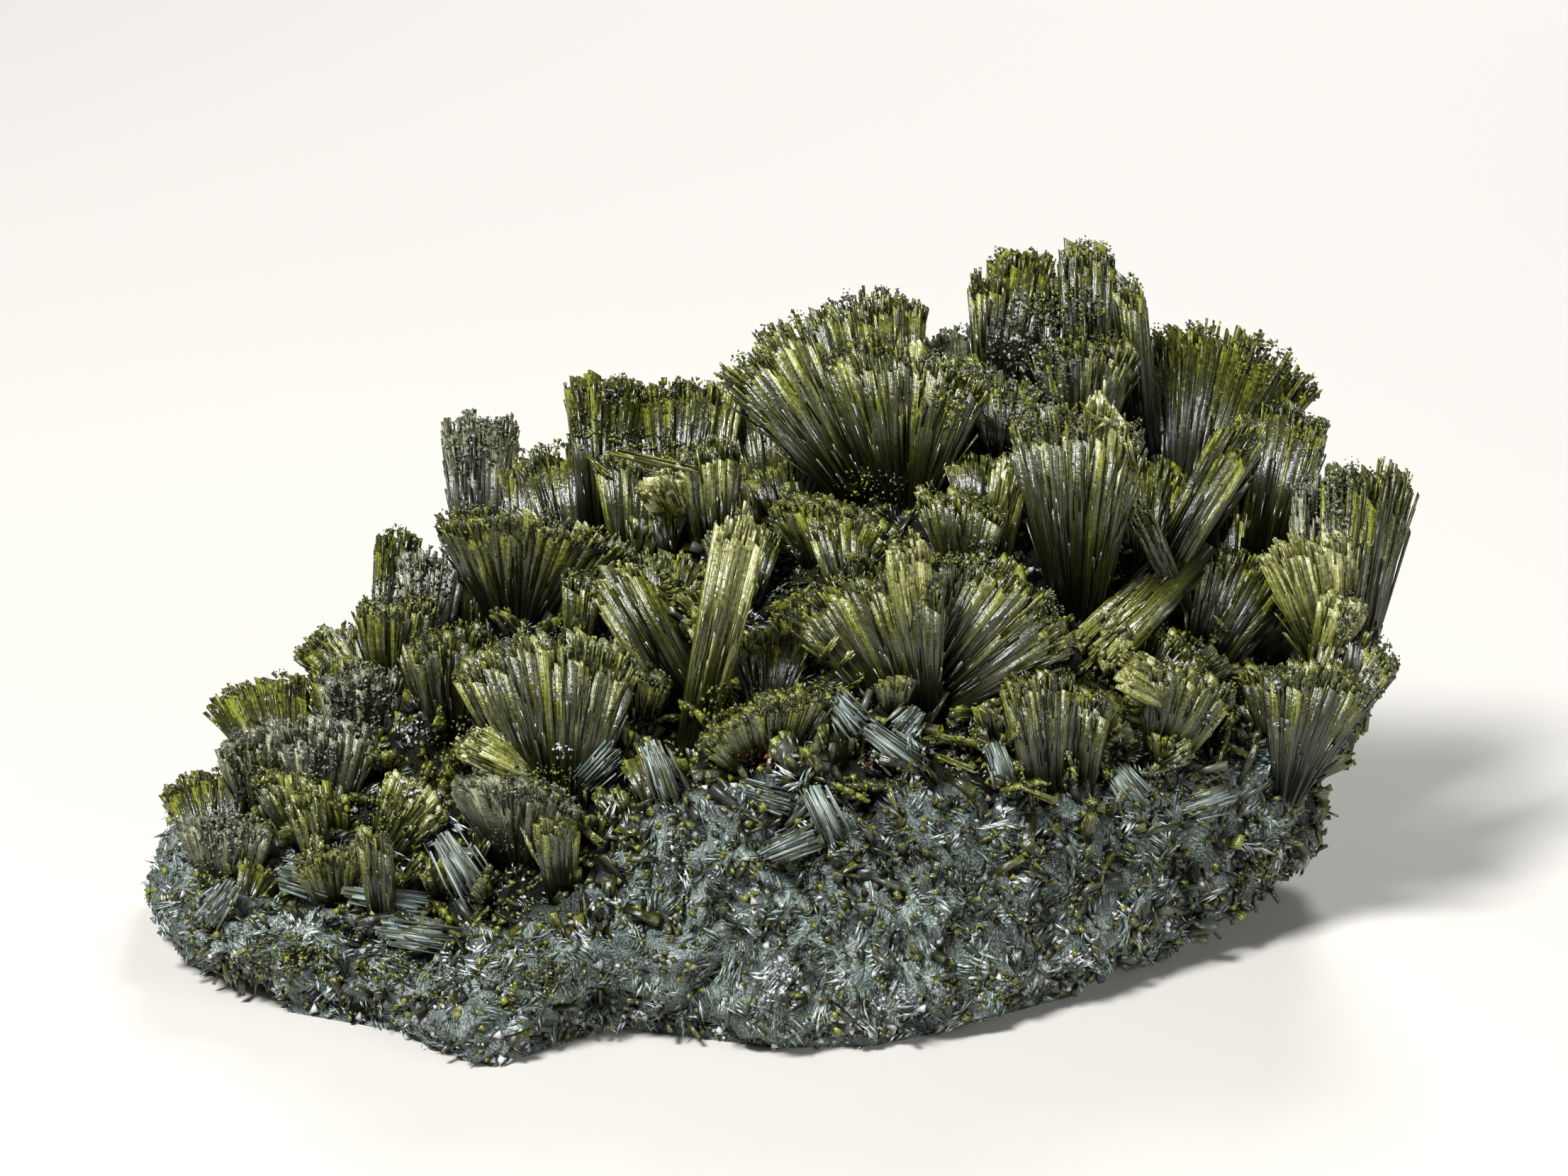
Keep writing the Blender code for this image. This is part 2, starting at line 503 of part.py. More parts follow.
def pieces(bm):
    """The separate bodies of a mesh, the largest first, without crumbs."""
    remaining = set(bm.verts)
    bodies = []
    while remaining:
        stack = [remaining.pop()]
        body = {stack[0].index}
        while stack:
            for edge in stack.pop().link_edges:
                for vert in edge.verts:
                    if vert in remaining:
                        remaining.discard(vert)
                        body.add(vert.index)
                        stack.append(vert)
        bodies.append(body)
    found = []
    for body in bodies:
        piece = bm.copy()
        others = [vert for vert in piece.verts if vert.index not in body]
        bmesh.ops.delete(piece, geom=others, context="VERTS")
        if piece.calc_volume() > CRUMB:
            found.append(piece)
    return sorted(found, key=lambda piece: -piece.calc_volume())


def corners(bm):
    """Where the mesh's corners are, to a hundredth of a millimetre."""
    return {tuple(round(value, 2) for value in vert.co) for vert in bm.verts}


def touching(first, second):
    """Whether the two overlap."""
    return bool(BVHTree.FromBMesh(first).overlap(BVHTree.FromBMesh(second)))


def grown_together(crystals):
    """Lists of the crystals that overlap, each list sorted by volume, the largest first."""
    names = list(crystals)
    group = {name: {name} for name in names}
    for i, a in enumerate(names):
        for b in names[i + 1:]:
            if group[a] is not group[b] and touching(crystals[a], crystals[b]):
                merged = group[a] | group[b]
                for name in merged:
                    group[name] = merged
    found = {id(g): sorted(g, key=lambda n: -crystals[n].calc_volume()) for g in group.values()}
    return sorted(found.values(), key=lambda g: names.index(g[0]))


def look_of(name):
    if name in PALE_CRYSTALS:
        return PALE_EPIDOTE
    if name in CRUSTED_CRYSTALS:
        return CRUST
    return EPIDOTE


def to_metres(bm):
    bmesh.ops.scale(bm, vec=(MM, MM, MM), verts=bm.verts[:])
    return bm


def build():
    clear_scene()
    bare_rock = rock()
    lying = list(bundles())
    ground = joined([bare_rock] + lying)
    clearance = joined([inflated(bm, GAP) for bm in [bare_rock] + lying])
    crystals = dict([*front_crystals(), *back_crystals()])
    solids = {}
    for names in grown_together(crystals):
        whole = combine(joined([crystals[name] for name in names]), clearance, "DIFFERENCE")
        for piece in pieces(whole):
            free = [name for name in names if name not in solids]
            shared = [name for name in free if len(corners(piece) & corners(crystals[name])) > 2]
            name = (shared or free)[0]
            if len(piece.faces) > JOINED_FACES:
                piece = thinned(piece, len(piece.faces) * JOINED_SHARE)
            solids[name] = piece
            print(name, "holds", len(names), "crystals in", len(piece.faces), "triangles")
    make_object("matrix_rock", to_metres(pieces(ground)[0]), ROCK)
    for name, solid in solids.items():
        make_object(name, to_metres(solid), look_of(name))


build()
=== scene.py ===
import json
import math

import bmesh
import bpy
import numpy as np
from mathutils import Matrix, Vector, noise
from mathutils.kdtree import KDTree


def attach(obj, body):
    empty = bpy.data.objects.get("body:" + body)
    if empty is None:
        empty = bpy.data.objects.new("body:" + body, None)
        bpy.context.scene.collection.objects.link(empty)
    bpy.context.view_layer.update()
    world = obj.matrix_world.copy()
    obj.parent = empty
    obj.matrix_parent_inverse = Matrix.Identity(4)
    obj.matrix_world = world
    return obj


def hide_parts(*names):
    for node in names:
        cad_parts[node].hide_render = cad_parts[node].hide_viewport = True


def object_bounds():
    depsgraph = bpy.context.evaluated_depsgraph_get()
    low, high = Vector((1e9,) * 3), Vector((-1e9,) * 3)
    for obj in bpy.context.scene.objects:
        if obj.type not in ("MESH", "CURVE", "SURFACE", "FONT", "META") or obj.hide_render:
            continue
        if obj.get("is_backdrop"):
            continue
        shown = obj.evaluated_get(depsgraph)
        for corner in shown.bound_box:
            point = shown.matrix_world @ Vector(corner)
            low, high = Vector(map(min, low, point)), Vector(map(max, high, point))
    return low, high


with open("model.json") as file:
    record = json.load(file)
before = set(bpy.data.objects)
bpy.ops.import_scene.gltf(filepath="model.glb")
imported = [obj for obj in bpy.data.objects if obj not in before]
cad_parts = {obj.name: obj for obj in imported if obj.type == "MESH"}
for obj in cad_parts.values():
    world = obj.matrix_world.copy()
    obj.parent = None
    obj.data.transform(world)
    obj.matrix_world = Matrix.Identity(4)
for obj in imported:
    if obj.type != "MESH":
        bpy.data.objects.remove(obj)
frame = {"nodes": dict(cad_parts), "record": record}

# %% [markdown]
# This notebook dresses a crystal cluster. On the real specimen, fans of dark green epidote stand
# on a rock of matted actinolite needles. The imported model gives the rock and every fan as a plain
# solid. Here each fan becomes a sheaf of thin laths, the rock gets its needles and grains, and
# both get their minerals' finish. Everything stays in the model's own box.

MM = 0.001
cad_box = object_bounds()
print("packed nodes", len(frame["nodes"]), "box", cad_box)

# %% [markdown]
# The specimen is seen from the front, a little from above. The crystals below are placed as they
# are seen, so the camera comes first: it looks along the same line that the places are given in.
# A long lens keeps the outline close to a flat drawing.

# %% The camera
VIEW_DOWN = math.radians(20)
VIEW_DISTANCE = 400.0
VIEW_HEIGHT = 23.6
VIEW_WIDTH = 98.97
SENSOR = 36.0


def eye():
    """Where the view is taken from, in millimetres."""
    back = VIEW_DISTANCE * math.cos(VIEW_DOWN)
    return Vector((0, -back, VIEW_HEIGHT + VIEW_DISTANCE * math.sin(VIEW_DOWN)))


camera = bpy.data.objects.new("camera", bpy.data.cameras.new("camera"))
camera.data.sensor_width = SENSOR
camera.data.lens = SENSOR * VIEW_DISTANCE / VIEW_WIDTH
camera.data.clip_start = 0.01
camera.location = eye() * MM
camera.rotation_euler = (math.radians(90) - VIEW_DOWN, 0, 0)
bpy.context.scene.collection.objects.link(camera)
bpy.context.scene.camera = camera
print("lens", round(camera.data.lens, 1), "mm")

# %% [markdown]
# Colours are written as they are read off a screen, in hex, and one function turns them to the
# linear values that Blender works in. Another adds a node to a material with its settings and
# whatever feeds its inputs, so that each finish below reads as a short list.

# %% Colours and nodes


def linear(hex_colour):
    """An sRGB hex colour as linear red, green, blue and alpha."""
    channels = [int(hex_colour[i:i + 2], 16) / 255 for i in (0, 2, 4)]
    return (*[((c + 0.055) / 1.055) ** 2.4 if c > 0.04045 else c / 12.92 for c in channels], 1)


def add(tree, kind, inputs=None, **settings):
    """A node of this kind. Settings are the node's own or those of an input that goes by one name.
    Inputs go by name or number, each with a socket to link to it or a constant."""
    node = tree.nodes.new(kind)
    for name, value in settings.items():
        if hasattr(node, name):
            setattr(node, name, value)
        else:
            node.inputs[name.replace("_", " ")].default_value = value
    for name, source in (inputs or {}).items():
        if isinstance(source, bpy.types.NodeSocket):
            tree.links.new(source, node.inputs[name])
        else:
            node.inputs[name].default_value = source
    return node


def ramp(tree, source, stops):
    """A colour ramp over this source, its stops as (place, hex colour)."""
    node = add(tree, "ShaderNodeValToRGB", {"Fac": source})
    while len(node.color_ramp.elements) < len(stops):
        node.color_ramp.elements.new(0.5)
    for element, (place, colour) in zip(node.color_ramp.elements, stops):
        element.position = place
        element.color = linear(colour)
    return node.outputs["Color"]


def finish_of(name, roughness, ior):
    """A new material, its node tree and its shader."""
    made = bpy.data.materials.new(name)
    made.use_nodes = True
    shader = made.node_tree.nodes["Principled BSDF"]
    shader.inputs["Roughness"].default_value = roughness
    shader.inputs["IOR"].default_value = ior
    return made, made.node_tree, shader


print("mid grey in linear values", [round(channel, 3) for channel in linear("808080")])

# %% [markdown]
# Epidote is a glassy green silicate with a high refractive index, near 1.75. It grows as long
# prisms with fine grooves along them, so a fan shines in thin silver lines and is nearly black
# between them. Towards the rim it turns sugary and yellow-green; the lighter colour there is partly
# the real sugary crust and partly painted light, for light that comes through the thin rim. Each
# lath carries a shade of its own and how far along the fan it reaches, and the colour darkens
# towards the foot of the fan as painted shade for the hollows between the crystals. The grooves
# follow the lath's own UV map, which is in millimetres, and the sugar is noise of about a third of
# one. The dark finish is the common one, the pale one is that of clean prisms, and the dusted one is
# that of crystals under a thin grey crust, which is duller.

# %% Epidote
# The real grooves are a few hundredths of a millimetre wide: they are drawn coarser, so that they
# show. Lengths are in millimetres. Each share is how far that cause moves the colour on its ramp.
GROOVES_PER_MM = 7.0
GROOVE_LENGTH = 5.0
GROOVE_DEPTH = 0.12
SUGAR_SIZE = 0.3
# The reach share, and the sugar that grows with reach, darken each fan towards its foot as painted shade
# and lighten it towards its rim.
REACH_PAINTED_SHADE_SHARE = 0.12
SHADE_SHARE = 0.24
SUGAR_SHARE = 0.6
GROOVE_SHARE = 0.65


def epidote(name, stops, transmission, roughness):
    """Striated epidote: colour from foot to tip and from lath to lath, grooves along the lath."""
    made, tree, shader = finish_of(name, roughness, 1.75)
    uv = add(tree, "ShaderNodeUVMap", uv_map="lath")
    stretched = add(
        tree, "ShaderNodeMapping", {"Vector": uv.outputs["UV"]},
        Scale=(GROOVES_PER_MM, 1 / GROOVE_LENGTH, 1),
    )
    grooves = add(
        tree, "ShaderNodeTexNoise", {"Vector": stretched.outputs["Vector"]}, Scale=1.6, Detail=3.0
    )
    shade = add(tree, "ShaderNodeAttribute", attribute_name="shade")
    along = add(tree, "ShaderNodeAttribute", attribute_name="along")
    place = add(tree, "ShaderNodeTexCoord")
    sugar = add(
        tree, "ShaderNodeTexNoise", {"Vector": place.outputs["Object"]},
        Scale=1000 / SUGAR_SIZE, Detail=2.0, Roughness=0.7,
    )
    crust = add(
        tree, "ShaderNodeMath", {0: sugar.outputs["Fac"], 1: along.outputs["Fac"]},
        operation="MULTIPLY",
    )
    # Painted shade: the colour darkens towards the foot of each fan and lightens towards its rim.
    total = add(
        tree, "ShaderNodeMath", {0: along.outputs["Fac"], 1: REACH_PAINTED_SHADE_SHARE}, operation="MULTIPLY"
    )
    for source, share in (
        (shade.outputs["Fac"], SHADE_SHARE), (crust.outputs[0], SUGAR_SHARE),
        (grooves.outputs["Fac"], GROOVE_SHARE),
    ):
        total = add(
            tree, "ShaderNodeMath", {0: source, 1: share, 2: total.outputs[0]},
            operation="MULTIPLY_ADD",
        )
    tree.links.new(ramp(tree, total.outputs[0], stops), shader.inputs["Base Color"])
    bump = add(
        tree, "ShaderNodeBump", {"Height": total.outputs[0]},
        Strength=0.8, Distance=GROOVE_DEPTH * MM,
    )
    tree.links.new(bump.outputs["Normal"], shader.inputs["Normal"])
    shader.inputs["Transmission Weight"].default_value = transmission
    return made


dark_epidote = epidote(
    "epidote_dark",
    [(0.38, "060702"), (0.55, "131505"), (0.72, "292C09"), (0.86, "4A4E12"), (1.0, "8A8F2B")],
    0.1, 0.27,
)
pale_epidote = epidote(
    "epidote_pale",
    [(0.38, "0C0D04"), (0.54, "25280B"), (0.7, "4D511A"), (0.86, "82843A"), (1.0, "C9CA98")],
    0.1, 0.18,
)
dusted_epidote = epidote(
    "epidote_dusted",
    [(0.38, "080904"), (0.55, "191B10"), (0.72, "2F321E"), (0.86, "4F5335"), (1.0, "8B8D6E")],
    0.0, 0.34,
)
print("epidote finishes", dark_epidote.name, pale_epidote.name, dusted_epidote.name)

# %% [markdown]
# The tips and ridges of the fans carry a druse: a crust of tiny epidote crystals, yellow-green
# and sugary. Grey parts of it are dusted with actinolite, and iron has stained the rock in two
# small places. All of these are fine grains or needles, so one function makes their finishes: each
# grain takes a shade of its own on the ramp, and soft noise mottles it.

# %% Druse, needles and grains
# The mottles are a little over a millimetre across, and these shares add up to the whole ramp.
MOTTLES_PER_METRE = 900.0
MOTTLE_SHARE = 0.3
GRAIN_SHARE = 0.85


def grains_finish(name, stops, roughness, ior):
    """A finish whose colour is the grain's or needle's own shade on the ramp, a little mottled."""
    made, tree, shader = finish_of(name, roughness, ior)
    shade = add(tree, "ShaderNodeAttribute", attribute_name="shade")
    place = add(tree, "ShaderNodeTexCoord")
    mottle = add(
        tree, "ShaderNodeTexNoise", {"Vector": place.outputs["Object"]},
        Scale=MOTTLES_PER_METRE, Detail=2.0,
    )
    own = add(
        tree, "ShaderNodeMath", {0: shade.outputs["Fac"], 1: GRAIN_SHARE}, operation="MULTIPLY"
    )
    mixed = add(
        tree, "ShaderNodeMath", {0: mottle.outputs["Fac"], 1: MOTTLE_SHARE, 2: own.outputs[0]},
        operation="MULTIPLY_ADD",
    )
    tree.links.new(ramp(tree, mixed.outputs[0], stops), shader.inputs["Base Color"])
    return made


druse_finish = grains_finish(
    "epidote_druse",
    [(0.15, "101207"), (0.4, "292C0D"), (0.65, "525617"), (0.85, "7F8424"), (1.0, "ACAE50")],
    0.26, 1.75,
)
grey_crust = grains_finish(
    "grey_crust",
    [(0.15, "1A1E18"), (0.45, "40463A"), (0.7, "666B52"), (0.85, "83877C"), (1.0, "A9A6AC")],
    0.4, 1.62,
)
needle_finish = grains_finish(
    "actinolite_needles",
    [
        (0.15, "121614"), (0.35, "2B322F"), (0.46, "4B4D2C"), (0.58, "5C6A64"), (0.8, "95A39E"),
        (1.0, "CED6D3"),
    ],
    0.38, 1.63,
)
speck_finish = grains_finish(
    "rock_grains",
    [
        (0.15, "1C1E0C"), (0.4, "50541A"), (0.62, "868A30"), (0.74, "77757C"), (0.88, "A9A6AC"),
        (1.0, "DAD8DC"),
    ],
    0.34, 1.6,
)
rust_finish = grains_finish(
    "rust_stain", [(0.15, "1A0E07"), (0.45, "42230F"), (0.75, "6E3D20"), (1.0, "96623C")], 0.6, 1.5
)
print("finishes so far", [finish.name for finish in bpy.data.materials])

# %% [markdown]
# Thousands of laths, needles and grains are needed. Each is one small shape, made once with
# Blender's mesh operators in a unit box: across from -0.5 to 0.5, along from 0 to 1 and deep from
# -0.5 to 0.5. A lath has six faces. Needles and grains are three-sided spindles, which have half
# the triangles. Copies are then stretched between a start and an end with arrays, which is quick.

# %% The shapes that are repeated


def corners_and_faces(bm):
    """The shape as two arrays, with its faces turned outwards."""
    bmesh.ops.recalc_face_normals(bm, faces=bm.faces[:])
    bm.verts.index_update()
    points = np.array([vert.co[:] for vert in bm.verts])
    faces = np.array([[vert.index for vert in face.verts] for face in bm.faces])
    bm.free()
    return points, faces


def lath(chisel):
    """A box whose far end is drawn out to a chisel."""
    bm = bmesh.new()
    bmesh.ops.create_cube(bm, size=1)
    bmesh.ops.translate(bm, vec=(0, 0.5, 0), verts=bm.verts[:])
    for vert in bm.verts:
        if vert.co.y > 0.5 and vert.co.x > 0:
            vert.co.y -= chisel
    return corners_and_faces(bm)


CORNER_RADIUS = 0.58


def spindle(middle):
    """A three-sided cone on a three-sided cone, widest at this share of its length."""
    bm = bmesh.new()
    bmesh.ops.create_cone(
        bm, segments=3, radius1=CORNER_RADIUS, radius2=0, depth=1 - middle,
        cap_ends=True, cap_tris=False,
    )
    bmesh.ops.remove_doubles(bm, verts=bm.verts[:], dist=0.001)
    bmesh.ops.rotate(bm, matrix=Matrix.Rotation(math.radians(-90), 3, "X"), verts=bm.verts[:])
    bmesh.ops.translate(bm, vec=(0, (1 + middle) / 2, 0), verts=bm.verts[:])
    cap = min(bm.faces, key=lambda face: face.calc_center_median().y)
    tip = bmesh.ops.poke(bm, faces=[cap])["verts"]
    bmesh.ops.translate(bm, vec=(0, -middle, 0), verts=tip)
    return corners_and_faces(bm)


LATH = lath(0.04)
NEEDLE = spindle(0.5)
GRAIN = spindle(0.42)
print("faces of a lath and of a needle", len(LATH[1]), len(NEEDLE[1]))

# %% Copies stretched between starts and ends
UV_STEP_ACROSS = 37
UV_STEP_ALONG = 11


def unit(vectors):
    """Each row at length 1."""
    return vectors / np.maximum(np.linalg.norm(vectors, axis=1, keepdims=True), 1e-9)


def ends(foot, tip):
    """The values at the foot and those at the tip, as two columns."""
    return np.stack([foot, tip], axis=1)


def copies(shape, start, end, side, normal, width, thick, shade, along=None):
    """Copies of a shape, each from its start to its end. Width, thickness and along, which is how
    far up its fan a copy reaches, have a column for each end. Returns the corners, the faces, and
    each corner's UV in mm, shade and reach. A copy's shade also shifts its UV, so that no two
    neighbours show the same grooves."""
    points, sides = shape
    u, v, w = points.T
    count = len(start)
    wide = width[:, :1] * (1 - v) + width[:, 1:] * v
    deep = thick[:, :1] * (1 - v) + thick[:, 1:] * v
    where = start[:, None] + (end - start)[:, None] * v[None, :, None]
    where = where + side[:, None] * (u * wide)[..., None] + normal[:, None] * (w * deep)[..., None]
    faces = sides[None] + len(points) * np.arange(count)[:, None, None]
    length = np.linalg.norm(end - start, axis=1)[:, None]
    across = u * wide + w * deep + shade[:, None] * UV_STEP_ACROSS
    uv = np.stack([across, v * length + shade[:, None] * UV_STEP_ALONG], axis=-1)
    reach = np.zeros((count, len(points)))
    if along is not None:
        reach = along[:, :1] * (1 - v) + along[:, 1:] * v
    return (
        where.reshape(-1, 3), faces.reshape(-1, sides.shape[1]), uv.reshape(-1, 2),
        np.repeat(shade, len(points)), reach.reshape(-1),
    )


def triangles(made):
    """How many triangles the faces of an object come to."""
    return sum(len(face.vertices) - 2 for face in made.data.polygons)


def piece(name, parts, finish, slot, nodes=()):
    """One object of all these copies. It rides on the root body and stands for the nodes named."""
    base = 0
    faces = []
    for part in parts:
        faces.append(part[1] + base)
        base += len(part[0])
    where = np.concatenate([part[0] for part in parts])
    faces = np.concatenate(faces)
    mesh = bpy.data.meshes.new(name)
    mesh.vertices.add(len(where))
    mesh.vertices.foreach_set("co", (where * MM).ravel())
    mesh.loops.add(faces.size)
    mesh.loops.foreach_set("vertex_index", faces.ravel())
    mesh.polygons.add(len(faces))
    mesh.polygons.foreach_set("loop_start", np.arange(0, faces.size, faces.shape[1]))
    uv = np.concatenate([part[2] for part in parts])[faces.ravel()]
    mesh.uv_layers.new(name="lath").data.foreach_set("uv", uv.ravel())
    for label, column in (("shade", 3), ("along", 4)):
        values = np.concatenate([part[column] for part in parts])
        mesh.attributes.new(label, "FLOAT", "POINT").data.foreach_set("value", values)
    mesh.update(calc_edges=True)
    mesh.materials.append(finish)
    made = bpy.data.objects.new(name, mesh)
    bpy.context.scene.collection.objects.link(made)
    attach(made, "root")
    if nodes:
        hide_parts(*nodes)
    return made


def tell(made):
    """Prints a piece's name and size."""
    print(made.name, triangles(made), "triangles")


# %% [markdown]
# The crystals are placed as the view shows them: how far across and up a foot and a tip are.
# The rock's height under each foot tells how far back the foot stands. These are the values that
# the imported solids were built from, so the laths fall where the solids are.

# %% Places in the view
BLEND = 3.6
CREST_BACK = 12.0
HEIGHTS = (
    (-39, 4, 5), (-37, -5, 4.8), (-31, -11, 4.4), (-24, -15, 4.6), (-17, -20, 4.4), (-8, -20, 5),
    (4, -19, 5.4), (13, -14, 6.2), (19, -11, 8), (25, -6, 9), (31, -1, 11.4), (34.6, 5, 13.4),
    (31, 12, 11), (24, 17, 10), (12, 21, 7), (-5, 21, 7), (-18, 18, 6), (-30, 14, 5), (-37, 9, 5),
    (-36, -2, 5.6), (-30, -7, 5.6), (-22, -10, 6.4), (-15, -13, 8), (-10, -11, 11.6),
    (-4, -10, 15), (5, -10, 15.6), (12, -8, 15.8), (19, -6, 15.2), (26, 0, 14.4), (30, 4, 14),
    (-30, 1, 8.6), (-22, -2, 11), (-15, -4, 13.4), (-8, -4, 16.6), (0, -4, 18), (8, -4, 18.8),
    (16, -1, 21), (23, 3, 20), (28, 8, 18),
    (-31, 8, 9.6), (-23, 6, 15), (-15, 5, 18.6), (-8, 5, 21.6), (0, 5, 22.6), (8, 5, 24),
    (16, 6, 29), (23, 9, 26),
    (-23, 13, 13), (-15, 12, 20.6), (-8, 12, 25.4), (0, 12, 26.6), (6, 12, 28), (12, 11, 33),
    (17, 11, 37), (22, 12, 31), (28, 13, 17),
    (-25, 16, 8), (-15, 17, 12), (-5, 17, 17.4), (5, 17, 19.4), (14, 17, 21), (21, 16, 17),
)


def seen(across, up, back):
    """The point that the view shows at this place, this far back along Y."""
    start = eye()
    aim = Vector((across, up * math.sin(VIEW_DOWN), VIEW_HEIGHT + up * math.cos(VIEW_DOWN)))
    return start + (aim - start) * (back - start.y) / (aim.y - start.y)


def rock_height(x, y):
    """The rock's upper side above this place."""
    total, weights = 0.0, 1e-9
    for px, py, pz in HEIGHTS:
        weight = math.exp(-((x - px) ** 2 + (y - py) ** 2) / (2 * BLEND**2))
        total += weight * pz
        weights += weight
    return total / weights


def on_rock(across, up):
    """Where the view meets the rock, or its crest where the view passes over it."""
    back = -24.0
    while back < CREST_BACK:
        point = seen(across, up, back)
        if point.z <= rock_height(point.x, point.y):
            return point
        back += 0.25
    return seen(across, up, CREST_BACK)


print("the rock at its middle is", round(rock_height(0, 0), 1), "mm high")

# %% [markdown]
# Each front crystal is given by its name, its foot and tip in the view, how far the tip leans
# back, its half spread in degrees, the width of its foot and its thickness. A foot with a third
# number stands that far back, and any other stands on the rock. Those of the back have the X and Y
# of their foot, the compass direction they lean in, how far they lean, their length and half
# spread. Two crystals are turned about their own axis by some degrees more than the others.

